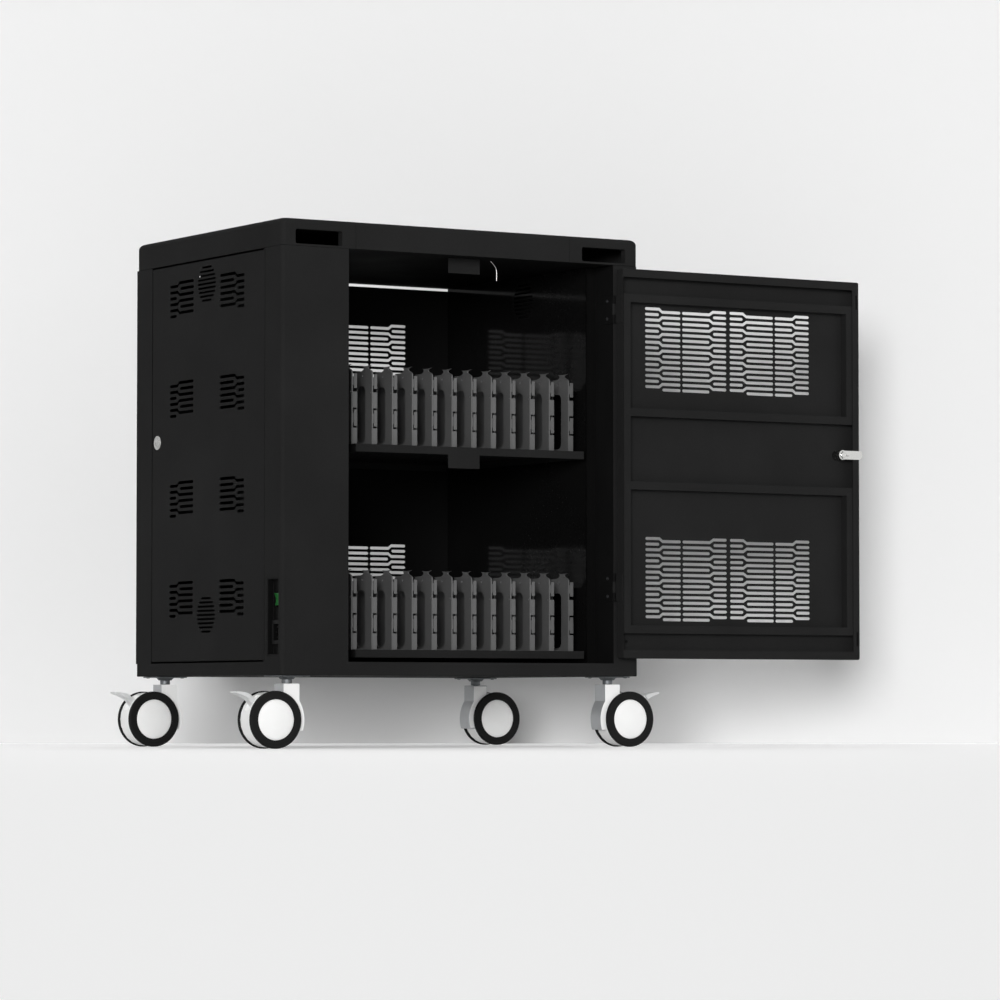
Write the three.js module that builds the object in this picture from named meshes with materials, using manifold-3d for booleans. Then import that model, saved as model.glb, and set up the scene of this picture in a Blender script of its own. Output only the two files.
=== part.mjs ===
// Laptop charging cart: a sheet-steel cabinet on four twin-wheel casters.
// Millimetres, +Z up. Inside the cart group, x runs from the left side, y from the front face
// and z from the floor. The front door hangs open as photographed.

import * as THREE from 'three';
import { mergeGeometries, mergeVertices } from 'three/addons/utils/BufferGeometryUtils.js';
import Module from 'manifold-3d';

const wasm = await Module();
wasm.setup();

// Cabinet
const WIDTH = 734;
const DEPTH = 553;
const HEIGHT = 917;
const BASE_BOTTOM = 127;
const BASE_RIM = 23;
const COVER_HEIGHT = 48;
const COVER_ROUND = 10;
const CORNER_ROUND = 8;
const SHEET = 2;
const GAP = 0.3;
const ROUND_SIDES = 16;
const WHEEL_SIDES = 24;
const BASE_TOP = BASE_BOTTOM + BASE_RIM;
const COVER_BOTTOM = HEIGHT - COVER_HEIGHT;
const WALL_BOTTOM = BASE_TOP + GAP;
const WALL_TOP = COVER_BOTTOM - GAP;

// Columns, walls and opening
const COLUMN_DEPTH = 60;
const POWER_COLUMN = 133;
const HINGE_COLUMN = 53;
const REAR_COLUMN = 62;
const WALL_SET = 20;
const WALL_LAP = 11;
const REAR_SLIT = 5;
const OPENING_RIGHT = WIDTH - HINGE_COLUMN;
const BAY_LEFT = POWER_COLUMN - SHEET - GAP;
const BAY_RIGHT = OPENING_RIGHT - WALL_SET;
const WALL_FRONT = COLUMN_DEPTH + GAP;
const WALL_REAR = DEPTH - SHEET - 2 * GAP;

// Vents of the rear panel and cable ports of the left inner wall
const REAR_VENT_SHIFT = 20;
const REAR_VENT_X = WIDTH / 2 + REAR_VENT_SHIFT;
const CABLE_PORT_LENGTH = 120;
const CABLE_PORT_HEIGHT = 50;
const CABLE_PORT_RISE = 190;

// Handle slots in the cover
const GRIP_LENGTH = 95;
const GRIP_HEIGHT = 28;
const GRIP_INSET = 26;
const GRIP_RISE = 16.5;
const GRIP_Z = COVER_BOTTOM + GRIP_RISE;

// Vent rows shared by the door and the rear panel
const VENT_ROWS = 15;
const VENT_PITCH = 10.1;
const VENT_SLOT = 5.4;
const VENT_LENGTH = 178.5;
const VENT_SPLIT = 12;
const VENT_DROP = 147;
const VENT_RISE = 155.5;
const VENT_UPPER_Z = COVER_BOTTOM - VENT_DROP;
const VENT_LOWER_Z = BASE_TOP + VENT_RISE;

// Side door
const SIDE_EDGE = 3;
const SIDE_FLANGE = 14;
const SIDE_FRONT = COLUMN_DEPTH + SIDE_EDGE;
const REAR_STILE = 64;
const SIDE_REAR = DEPTH - REAR_STILE;
const SIDE_BOTTOM = BASE_TOP + SIDE_EDGE;
const SIDE_TOP = COVER_BOTTOM - SIDE_EDGE;
const SIDE_PIVOT_X = 5;
const SIDE_PIVOT_Y = SIDE_FRONT + 6;
const PIVOT_RADIUS = 3;
const BRACKET_REACH = 14;
const LOCK_SET = 23;
const LOCK_RISE = 399.6;
const LOCK_Y = SIDE_REAR - LOCK_SET;
const LOCK_Z = BASE_TOP + LOCK_RISE;
const LOCK_FACE = 13;
const LOCK_BODY = 9;
const CAM_REACH = 43;

// Small vents on the side panels
const SIDE_VENT_ROWS = 6;
const SIDE_VENT_PITCH = 11;
const SIDE_VENT_LENGTH = 100;
const SIDE_VENT_SET = 96;
const SIDE_VENT_RISES = [117, 300];
const SIDE_VENT_DROPS = [241, 62];
const SIDE_VENT_Z = [
  ...SIDE_VENT_RISES.map((rise) => BASE_TOP + rise), ...SIDE_VENT_DROPS.map((drop) => COVER_BOTTOM - drop)];
const FAN_VENT_RADIUS = 35;
const FAN_VENT_RISE = 85;
const FAN_VENT_DROP = 45;
const FAN_VENT_SHIFT = 2;
const FAN_VENT_Z = [BASE_TOP + FAN_VENT_RISE, COVER_BOTTOM - FAN_VENT_DROP];
const FAN_VENT_Y = (SIDE_FRONT + SIDE_REAR) / 2 + FAN_VENT_SHIFT;
const SIDE_VENT_Y = [FAN_VENT_Y - SIDE_VENT_SET, FAN_VENT_Y + SIDE_VENT_SET];
const FAN_VENT_ROWS = 9;
const FAN_VENT_PITCH = 7.4;
const FAN_VENT_SLOT = 4;
const INNER_FAN_RADIUS = 29;

// Front door, in the frame of its hinge axis with the door shut
const DOOR_AXIS_X = OPENING_RIGHT - 1.5;
const DOOR_AXIS_Y = -3.6;
const DOOR_OPEN = Math.PI;
const DOOR_HINGE_EDGE = -3.4;
const DOOR_FREE_SET = 19.5;
const DOOR_FREE_EDGE = POWER_COLUMN + DOOR_FREE_SET - DOOR_AXIS_X;
const DOOR_PULL_LIP = 11;
const DOOR_FOOT_CLEAR = 9;
const DOOR_HEAD_CLEAR = 8;
const DOOR_BOTTOM = BASE_TOP + DOOR_FOOT_CLEAR;
const DOOR_TOP = COVER_BOTTOM - DOOR_HEAD_CLEAR;
const DOOR_DEPTH = 22;
const DOOR_RETURN = 15;
const LIP_SLOT = [4, 26];
const LIP_SLOT_SET = 38;
const DOOR_SHEET = 1.5;
const DOOR_SKIN_Y = -DOOR_AXIS_Y;
const DOOR_VENT_SHIFT = 19.2;
const DOOR_VENT_X = (DOOR_FREE_EDGE + DOOR_HINGE_EDGE) / 2 + DOOR_VENT_SHIFT;
const STIFFENER_WIDTH = 15;
const STIFFENER_DEPTH = 18;
const STIFFENER_NEAR = -6.5;
const STIFFENER_SET = 12.5;
const STIFFENER_FAR = DOOR_FREE_EDGE + STIFFENER_SET;
const LOWER_FRAME_RISES = [45, 319];
const UPPER_FRAME_DROPS = [266, 45];
const VENT_FRAMES = [
  LOWER_FRAME_RISES.map((rise) => DOOR_BOTTOM + rise), UPPER_FRAME_DROPS.map((drop) => DOOR_TOP - drop)];
const DOOR_LOCK_SET = 38;
const DOOR_LOCK_RISE = 28.5;
const DOOR_LOCK_X = DOOR_FREE_EDGE + DOOR_LOCK_SET;
const DOOR_LOCK_Z = (DOOR_BOTTOM + DOOR_TOP) / 2 + DOOR_LOCK_RISE;
const HINGE_RISE = 128;
const HINGE_DROP = 72.6;
const HINGE_Z = [DOOR_BOTTOM + HINGE_RISE, DOOR_TOP - HINGE_DROP];
const HINGE_HEIGHT = 50;
const HINGE_LEAF = 28;
const KNUCKLE_RADIUS = 3;
const HINGE_PIN = 1.5;
const CAM_RISE = 3;

// Shelves and dividers
const LOWER_SHELF_RISE = 22.5;
const UPPER_SHELF_RISE = 383;
const SHELF_TOPS = { lower: BASE_TOP + LOWER_SHELF_RISE, upper: BASE_TOP + UPPER_SHELF_RISE };
const SHELF_SET_LEFT = 39;
const SHELF_SET_RIGHT = 33;
const SHELF_SET_REAR = 18;
const SHELF_LEFT = POWER_COLUMN + SHELF_SET_LEFT;
const SHELF_RIGHT = OPENING_RIGHT - SHELF_SET_RIGHT;
const SHELF_FRONT = 46;
const SHELF_REAR = DEPTH - SHELF_SET_REAR;
const SHELF_LIP = 14;
const RAIL_HEIGHT = 10;
const RAIL_FRONT = WALL_FRONT + 25;
const RAIL_REAR = SHELF_REAR - 5;
const TAB_SET = 48;
const TAB_LEFT = (SHELF_LEFT + SHELF_RIGHT) / 2 - TAB_SET;
const TAB_WIDTH = 65;
const TAB_DROP = 24;
const DIVIDERS = 12;
const DIVIDER_HEIGHT = 141;
const DIVIDER_DEPTH = 235;
const DIVIDER_THICK = 2.5;
const DIVIDER_FLANGE = 11;
const DIVIDER_SHOULDER = 10;
const FLANGE_DROP = 16.4;
const DIVIDER_SET_LEFT = 3.9;
const DIVIDER_SET_RIGHT = 22.6;
const DIVIDER_FIRST = SHELF_LEFT + DIVIDER_SET_LEFT;
const DIVIDER_LAST = SHELF_RIGHT - DIVIDER_SET_RIGHT;
const DIVIDER_PITCH = (DIVIDER_LAST - DIVIDER_FIRST) / (DIVIDERS - 1);
const DIVIDER_SET_FRONT = 17;
const DIVIDER_FRONT = SHELF_FRONT + DIVIDER_SET_FRONT;
const RACK_FLOOR = 2;

// Power recess and strip
const INLET_RISE = 11;
const INLET_HEIGHT = 133;
const INLET_BOTTOM = BASE_TOP + INLET_RISE;
const INLET_TOP = INLET_BOTTOM + INLET_HEIGHT;
const INLET_FRONT = 9;
const INLET_REAR = 50;
const INLET_DEPTH = 16;
const SWITCH_DROP = 36;
const SWITCH_Z = INLET_TOP - SWITCH_DROP;
const SWITCH_WIDTH = 20;
const SWITCH_HEIGHT = 27;
const SOCKET_RISE = 40;
const SOCKET_Z = INLET_BOTTOM + SOCKET_RISE;
const STRIP_MARGIN = 70;
const STRIP_BOTTOM = BASE_TOP + STRIP_MARGIN;
const STRIP_TOP = COVER_BOTTOM - STRIP_MARGIN;
const STRIP_WIDTH = 46;
const STRIP_DEPTH = 34;
const STRIP_OUTLETS = 10;

// Casters
const WHEEL_RADIUS = 50;
const HUB_RADIUS = 35.5;
const TYRE_WIDTH = 8.5;
const WHEEL_SPREAD = 34;
const CASTER_TRAIL = 34;
const CASTER_INSET_X = 37;
const CASTER_INSET_Y = 46;
const AXLE_RADIUS = 4;
const STEM_RADIUS = 5;
const PLATE_SIZE = 62;
const PLATE_THICK = 2;
const COLLAR_RADIUS = 17;
const COLLAR_HEIGHT = 4.5;
const NECK_RADIUS = 9;
const NECK_LENGTH = 7.5;
const STEM_LENGTH = 18;
const TYRE_ROUND = 2.5;
const WEB_THICK = WHEEL_SPREAD - 2 * GAP;
const WEB_RADIUS = 48;
const FORK_HALF = 15.6;
const HOOD_RADIUS = 59.5;
const HOOD_FOOT_Z = 31;
const LEVER_WIDTH = 16;
const LEVER_TAB_WIDTH = 24;
const LEVER_REACH = 70;
const LEVER_TIP_Z = 98;
const LEVER_PIVOT_TRAIL = CASTER_TRAIL + 30;
const LEVER_PIVOT_Z = WHEEL_RADIUS + 26;
const LEVER_ROOT = 16;
const LEVER_PIN = 2.5;
const CASTERS = [
  { name: 'front_left', x: CASTER_INSET_X, y: CASTER_INSET_Y, turn: Math.PI, brake: true },
  { name: 'rear_left', x: CASTER_INSET_X, y: DEPTH - CASTER_INSET_Y, turn: Math.PI, brake: true },
  { name: 'front_right', x: WIDTH - CASTER_INSET_X, y: CASTER_INSET_Y, turn: 0, brake: true },
  { name: 'rear_right', x: WIDTH - CASTER_INSET_X, y: DEPTH - CASTER_INSET_Y, turn: 0, brake: false },
];

// Origin: on the floor, at the middle of the footprint with the door open
const LEVER_TIP_X = CASTER_INSET_X - CASTER_TRAIL - LEVER_REACH;
const DOOR_TIP_X = DOOR_AXIS_X - DOOR_FREE_EDGE + DOOR_PULL_LIP;
const DOOR_FACE_Y = 2 * DOOR_AXIS_Y - DOOR_DEPTH - CAM_RISE;
const ORIGIN_X = (LEVER_TIP_X + DOOR_TIP_X) / 2;
const ORIGIN_Y = (DOOR_FACE_Y + DEPTH) / 2;

const cart = new THREE.Group();
cart.position.set(-ORIGIN_X, -ORIGIN_Y, 0);

function steel(color) {
  return new THREE.MeshStandardMaterial({ color, roughness: 0.65, metalness: 0.2 });
}

function bright(color) {
  return new THREE.MeshStandardMaterial({ color, roughness: 0.3, metalness: 0.9 });
}

function plastic(color) {
  return new THREE.MeshStandardMaterial({ color, roughness: 0.5, metalness: 0 });
}

const BLACK_COAT = 0x242424;
const INNER_COAT = 0x1b1b1b;

// Negative where a geometry's faces point inward
function signedVolume(geometry) {
  const corners = [new THREE.Vector3(), new THREE.Vector3(), new THREE.Vector3()];
  const { position } = geometry.attributes;
  const { array } = geometry.index;
  let volume = 0;
  for (let i = 0; i < array.length; i += 3) {
    corners.forEach((corner, k) => corner.fromBufferAttribute(position, array[i + k]));
    volume += corners[0].dot(corners[1].cross(corners[2])) / 6;
  }
  return volume;
}

// A closed three.js geometry as a solid that can be joined and cut
function solid(geometry) {
  const plain = geometry.clone();
  plain.deleteAttribute('normal');
  plain.deleteAttribute('uv');
  const merged = mergeVertices(plain, 1e-4);
  const triVerts = new Uint32Array(merged.index.array);
  if (signedVolume(merged) < 0) {
    triVerts.reverse();
  }
  const vertProperties = new Float32Array(merged.attributes.position.array);
  return new wasm.Manifold(new wasm.Mesh({ numProp: 3, vertProperties, triVerts }));
}

function geometryOf(shape) {
  const mesh = shape.getMesh();
  const geometry = new THREE.BufferGeometry();
  geometry.setAttribute('position', new THREE.BufferAttribute(new Float32Array(mesh.vertProperties), 3));
  geometry.setIndex(new THREE.BufferAttribute(new Uint32Array(mesh.triVerts), 1));
  const faceted = geometry.toNonIndexed();
  faceted.computeVertexNormals();
  return faceted;
}

function addPart(parent, name, shape, material) {
  const mesh = new THREE.Mesh(geometryOf(shape), material);
  mesh.name = name;
  parent.add(mesh);
  return mesh;
}

function boxGeometry(x0, x1, y0, y1, z0, z1) {
  const geometry = new THREE.BoxGeometry(x1 - x0, y1 - y0, z1 - z0);
  geometry.translate((x0 + x1) / 2, (y0 + y1) / 2, (z0 + z1) / 2);
  return geometry;
}

function block(...sides) {
  return solid(boxGeometry(...sides));
}

// A round bar along x, y or z from one end to the other
function bar(axis, radius, from, to, a, b, sides = ROUND_SIDES) {
  const geometry = new THREE.CylinderGeometry(radius, radius, to - from, sides);
  const middle = (from + to) / 2;
  if (axis === 'x') {
    geometry.rotateZ(Math.PI / 2);
    geometry.translate(middle, a, b);
  } else if (axis === 'y') {
    geometry.translate(a, middle, b);
  } else {
    geometry.rotateX(Math.PI / 2);
    geometry.translate(a, b, middle);
  }
  return solid(geometry);
}

function roundedRectangle(x0, x1, y0, y1, radius) {
  const path = new THREE.Shape();
  path.moveTo(x0 + radius, y0);
  path.lineTo(x1 - radius, y0);
  path.absarc(x1 - radius, y0 + radius, radius, -Math.PI / 2, 0, false);
  path.lineTo(x1, y1 - radius);
  path.absarc(x1 - radius, y1 - radius, radius, 0, Math.PI / 2, false);
  path.lineTo(x0 + radius, y1);
  path.absarc(x0 + radius, y1 - radius, radius, Math.PI / 2, Math.PI, false);
  path.lineTo(x0, y0 + radius);
  path.absarc(x0 + radius, y0 + radius, radius, Math.PI, 1.5 * Math.PI, false);
  return path;
}

// A plan outline raised from z0 to z1
function upright(outline, z0, z1, segments = 5) {
  const geometry = new THREE.ExtrudeGeometry(outline, {
    depth: z1 - z0, bevelEnabled: false, curveSegments: segments,
  });
  geometry.translate(0, 0, z0);
  return solid(geometry);
}

// An outline drawn in (x, z) with its thickness running from y0 to y1
function frontSheet(outline, y0, y1, segments = 6) {
  const geometry = new THREE.ExtrudeGeometry(outline, {
    depth: y1 - y0, bevelEnabled: false, curveSegments: segments,
  });
  geometry.rotateX(Math.PI / 2);
  geometry.translate(0, y1, 0);
  return solid(geometry);
}

// An outline drawn in (y, z) with its thickness running from x0 to x1
function sideSheet(outline, x0, x1, segments = 6) {
  const geometry = new THREE.ExtrudeGeometry(outline, {
    depth: x1 - x0, bevelEnabled: false, curveSegments: segments,
  });
  geometry.applyMatrix4(new THREE.Matrix4().makeBasis(
    new THREE.Vector3(0, 1, 0), new THREE.Vector3(0, 0, 1), new THREE.Vector3(1, 0, 0)));
  geometry.translate(x0, 0, 0);
  return solid(geometry);
}

// Two groups of straight vent rows either side of a middle bar: [start, end, bottom, top]
function ventSlots(middle, centre) {
  const slots = [];
  for (let row = 0; row < VENT_ROWS; row += 1) {
    const z = centre + (row - (VENT_ROWS - 1) / 2) * VENT_PITCH;
    for (const start of [middle - VENT_SPLIT / 2 - VENT_LENGTH, middle + VENT_SPLIT / 2]) {
      slots.push([start, start + VENT_LENGTH, z - VENT_SLOT / 2, z + VENT_SLOT / 2]);
    }
  }
  return slots;
}

// The eight small vents and two round fan vents of a side panel
function sideVentSlots() {
  const slots = [];
  for (const y of SIDE_VENT_Y) {
    for (const centre of SIDE_VENT_Z) {
      for (let row = 0; row < SIDE_VENT_ROWS; row += 1) {
        const z = centre + (row - (SIDE_VENT_ROWS - 1) / 2) * SIDE_VENT_PITCH;
        const half = SIDE_VENT_LENGTH / 2;
        slots.push([y - half, y + half, z - VENT_SLOT / 2, z + VENT_SLOT / 2]);
      }
    }
  }
  return slots.concat(fanVentSlots());
}

function fanVentSlots() {
  const slots = [];
  for (const centre of FAN_VENT_Z) {
    for (let row = 0; row < FAN_VENT_ROWS; row += 1) {
      const rise = (row - (FAN_VENT_ROWS - 1) / 2) * FAN_VENT_PITCH;
      const half = Math.sqrt(FAN_VENT_RADIUS ** 2 - rise ** 2);
      const z = centre + rise;
      slots.push([FAN_VENT_Y - half, FAN_VENT_Y + half, z - FAN_VENT_SLOT / 2, z + FAN_VENT_SLOT / 2]);
    }
  }
  return slots;
}

// Vent slots as one cutting solid, through a front sheet or a side sheet
function frontCuts(slots, y0, y1) {
  return solid(mergeGeometries(slots.map(([a, b, z0, z1]) => boxGeometry(a, b, y0, y1, z0, z1))));
}

function sideCuts(slots, x0, x1) {
  return solid(mergeGeometries(slots.map(([a, b, z0, z1]) => boxGeometry(x0, x1, a, b, z0, z1))));
}

function buildBase() {
  const outside = upright(roundedRectangle(0, WIDTH, 0, DEPTH, CORNER_ROUND), BASE_BOTTOM, BASE_TOP);
  const inside = block(SHEET, WIDTH - SHEET, SHEET, DEPTH - SHEET, BASE_BOTTOM + SHEET, BASE_TOP + 1);
  const corners = upright(
    roundedRectangle(SHEET, WIDTH - SHEET, SHEET, DEPTH - SHEET, CORNER_ROUND - SHEET),
    BASE_BOTTOM, BASE_TOP + 1);
  addPart(cart, 'base_pan', outside.subtract(inside.intersect(corners)), steel(BLACK_COAT));
}

function buildCover() {
  const inset = COVER_ROUND;
  const outline = roundedRectangle(inset, WIDTH - inset, inset, DEPTH - inset, CORNER_ROUND);
  const geometry = new THREE.ExtrudeGeometry(outline, {
    depth: COVER_HEIGHT, bevelEnabled: true, bevelSize: COVER_ROUND, bevelThickness: COVER_ROUND,
    bevelSegments: 4, curveSegments: 5,
  });
  geometry.translate(0, 0, HEIGHT - COVER_HEIGHT - COVER_ROUND);
  const shell = solid(geometry);
  const below = block(-1, WIDTH + 1, -1, DEPTH + 1, COVER_BOTTOM - 4 * COVER_ROUND, COVER_BOTTOM);
  const hollow = upright(
    roundedRectangle(SHEET, WIDTH - SHEET, SHEET, DEPTH - SHEET, CORNER_ROUND),
    COVER_BOTTOM - 1, HEIGHT - COVER_ROUND - SHEET);
  let cover = shell.subtract(below).subtract(hollow);
  for (const left of [GRIP_INSET, WIDTH - GRIP_INSET - GRIP_LENGTH]) {
    const grip = roundedRectangle(
      left, left + GRIP_LENGTH, GRIP_Z - GRIP_HEIGHT / 2, GRIP_Z + GRIP_HEIGHT / 2, 5);
    cover = cover.subtract(frontSheet(grip, -1, SHEET + 1, 4));
  }
  addPart(cart, 'top_cover', cover, steel(BLACK_COAT));

  const side = SHEET + BRACKET_REACH + GAP;
  const end = SHEET + GAP;
  const plate = block(side, WIDTH - side, end, DEPTH - end, COVER_BOTTOM + GAP, COVER_BOTTOM + GAP + SHEET);
  const tab = block(
    TAB_LEFT, TAB_LEFT + TAB_WIDTH, SHELF_FRONT, SHELF_FRONT + SHEET,
    COVER_BOTTOM - TAB_DROP, COVER_BOTTOM + SHEET);
  addPart(cart, 'ceiling_panel', plate.add(tab), steel(INNER_COAT));
}

// Front columns are folded channels, open to the rear
function frontColumn(x0, x1, roundLeft) {
  const outer = new THREE.Shape();
  const r = CORNER_ROUND;
  if (roundLeft) {
    outer.moveTo(x1, 0);
    outer.lineTo(x1, COLUMN_DEPTH);
    outer.lineTo(x0, COLUMN_DEPTH);
    outer.lineTo(x0, r);
    outer.absarc(x0 + r, r, r, Math.PI, 1.5 * Math.PI, false);
  } else {
    outer.moveTo(x0, 0);
    outer.lineTo(x1 - r, 0);
    outer.absarc(x1 - r, r, r, -Math.PI / 2, 0, false);
    outer.lineTo(x1, COLUMN_DEPTH);
    outer.lineTo(x0, COLUMN_DEPTH);
  }
  outer.closePath();
  const hollow = block(x0 + SHEET, x1 - SHEET, r, COLUMN_DEPTH + 1, WALL_BOTTOM - 1, WALL_TOP + 1)
    .add(block(x0 + r, x1 - r, SHEET, COLUMN_DEPTH, WALL_BOTTOM - 1, WALL_TOP + 1));
  return upright(outer, WALL_BOTTOM, WALL_TOP).subtract(hollow);
}

function buildFrame() {
  const window = block(
    -1, SHEET + 1, INLET_FRONT - GAP, INLET_REAR + GAP, INLET_BOTTOM - GAP, INLET_TOP + GAP);
  const powerColumn = frontColumn(0, POWER_COLUMN, true).subtract(window);
  addPart(cart, 'column_front_left', powerColumn, steel(BLACK_COAT));
  addPart(cart, 'column_front_right', frontColumn(OPENING_RIGHT, WIDTH, false), steel(BLACK_COAT));

  const rearStart = SIDE_REAR + SIDE_EDGE;
  const rearLeft = upright(
    roundedRectangle(0, REAR_COLUMN, rearStart, DEPTH, SHEET), WALL_BOTTOM, WALL_TOP).subtract(
    block(SHEET, REAR_COLUMN + 1, rearStart - 1, DEPTH - SHEET, WALL_BOTTOM - 1, WALL_TOP + 1));
  addPart(cart, 'column_rear_left', rearLeft, steel(BLACK_COAT));
  const rightEdge = WIDTH - REAR_COLUMN;
  const rearRight = upright(
    roundedRectangle(rightEdge, WIDTH, rearStart, DEPTH, SHEET), WALL_BOTTOM, WALL_TOP).subtract(
    block(rightEdge - 1, WIDTH - SHEET, rearStart - 1, DEPTH - SHEET, WALL_BOTTOM - 1, WALL_TOP + 1));
  addPart(cart, 'column_rear_right', rearRight, steel(BLACK_COAT));

  const back = block(
    REAR_COLUMN + GAP, rightEdge - GAP, DEPTH - SHEET, DEPTH, WALL_BOTTOM, COVER_BOTTOM - REAR_SLIT);
  const slots = [...ventSlots(REAR_VENT_X, VENT_UPPER_Z), ...ventSlots(REAR_VENT_X, VENT_LOWER_Z)];
  const vented = back.subtract(frontCuts(slots, DEPTH - SHEET - 1, DEPTH + 1));
  addPart(cart, 'rear_panel', vented, steel(BLACK_COAT));
}

function buildInnerWalls() {
  const middle = (WALL_FRONT + WALL_REAR) / 2;
  let leftWall = block(BAY_LEFT - SHEET, BAY_LEFT, WALL_FRONT, WALL_REAR, WALL_BOTTOM, WALL_TOP);
  for (const top of Object.values(SHELF_TOPS)) {
    for (const y of [middle - CABLE_PORT_LENGTH, middle + CABLE_PORT_LENGTH]) {
      const half = CABLE_PORT_LENGTH / 2;
      const port = roundedRectangle(
        y - half, y + half, top + CABLE_PORT_RISE, top + CABLE_PORT_RISE + CABLE_PORT_HEIGHT, 12);
      leftWall = leftWall.subtract(sideSheet(port, BAY_LEFT - SHEET - 1, BAY_LEFT + 1, 3));
    }
  }
  addPart(cart, 'inner_wall_left', leftWall, steel(INNER_COAT));

  const rightWall = block(BAY_RIGHT, BAY_RIGHT + SHEET, WALL_FRONT, WALL_REAR, WALL_BOTTOM, WALL_TOP)
    .subtract(bar(
      'x', INNER_FAN_RADIUS, BAY_RIGHT - 1, BAY_RIGHT + SHEET + 1, FAN_VENT_Y, FAN_VENT_Z[1]))
    .add(block(
      BAY_RIGHT, OPENING_RIGHT + WALL_LAP, WALL_FRONT, WALL_FRONT + SHEET, WALL_BOTTOM, WALL_TOP));
  addPart(cart, 'inner_wall_right', rightWall, steel(INNER_COAT));

  const outer = block(
    WIDTH - SHEET, WIDTH, COLUMN_DEPTH + GAP, SIDE_REAR + SIDE_EDGE - GAP, WALL_BOTTOM, WALL_TOP);
  const cuts = sideCuts(fanVentSlots(), WIDTH - SHEET - 1, WIDTH + 1);
  addPart(cart, 'side_panel_right', outer.subtract(cuts), steel(BLACK_COAT));
}

function buildSideDoor() {
  const door = new THREE.Group();
  door.position.set(SIDE_PIVOT_X, SIDE_PIVOT_Y, 0);
  cart.add(door);
  const skin = block(0, SHEET, SIDE_FRONT, SIDE_REAR, SIDE_BOTTOM, SIDE_TOP)
    .subtract(sideCuts(sideVentSlots(), -1, SHEET + 1))
    .subtract(bar('x', LOCK_BODY + GAP, -1, SHEET + 1, LOCK_Y, LOCK_Z));
  const frame = block(0, SIDE_FLANGE, SIDE_FRONT, SIDE_REAR, SIDE_BOTTOM, SIDE_TOP).subtract(block(
    -1, SIDE_FLANGE + 1, SIDE_FRONT + SHEET, SIDE_REAR - SHEET, SIDE_BOTTOM + SHEET, SIDE_TOP - SHEET));
  const pins = bar('z', PIVOT_RADIUS, SIDE_TOP - 1, COVER_BOTTOM + 10, SIDE_PIVOT_X, SIDE_PIVOT_Y)
    .add(bar('z', PIVOT_RADIUS, BASE_TOP - 5, SIDE_BOTTOM + 1, SIDE_PIVOT_X, SIDE_PIVOT_Y));
  const panel = addPart(door, 'side_door', skin.add(frame).add(pins), steel(BLACK_COAT));
  panel.position.set(-SIDE_PIVOT_X, -SIDE_PIVOT_Y, 0);

  const lock = new THREE.Group();
  lock.position.set(-SIDE_PIVOT_X, LOCK_Y - SIDE_PIVOT_Y, LOCK_Z);
  door.add(lock);
  const keyway = block(-4, -1, -1.5, 1.5, -5, 5);
  const barrel = bar('x', LOCK_FACE, -2.5, -GAP, 0, 0)
    .add(bar('x', LOCK_BODY, -1, 21, 0, 0)).subtract(keyway);
  const cam = block(18, 21, -8, 8, -CAM_REACH, 0);
  addPart(lock, 'side_lock', barrel.add(cam), bright(0xb9bcbe));

  const bearings = [
    ['side_hinge_lower', BASE_TOP - 4, BASE_TOP],
    ['side_hinge_upper', COVER_BOTTOM + 4, COVER_BOTTOM + 9]];
  for (const [name, z0, z1] of bearings) {
    const bracket = block(SHEET + GAP, SHEET + BRACKET_REACH, SIDE_PIVOT_Y - 9, SIDE_PIVOT_Y + 9, z0, z1)
      .subtract(bar('z', PIVOT_RADIUS + GAP, z0 - 1, z1 + 1, SIDE_PIVOT_X, SIDE_PIVOT_Y));
    addPart(cart, name, bracket, steel(INNER_COAT));
  }
}

// Bars of the door's stiffener, each grown by the given margin: an upright at the hinge side, and
// around each vent two level bars with an upright at the free side
function stiffenerBars(y0, y1, margin) {
  const near = STIFFENER_NEAR + margin;
  const far = STIFFENER_FAR - margin;
  const wide = STIFFENER_WIDTH + 2 * margin;
  const low = VENT_FRAMES[0][0] - margin;
  const high = VENT_FRAMES[1][1] + margin;
  let bars = block(near - wide, near, y0, y1, low, high);
  for (const [z0, z1] of VENT_FRAMES) {
    bars = bars.add(block(far, near, y0, y1, z0 - margin, z0 - margin + wide))
      .add(block(far, near, y0, y1, z1 + margin - wide, z1 + margin))
      .add(block(far, far + wide, y0, y1, z0 - margin, z1 + margin));
  }
  return bars;
}

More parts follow.
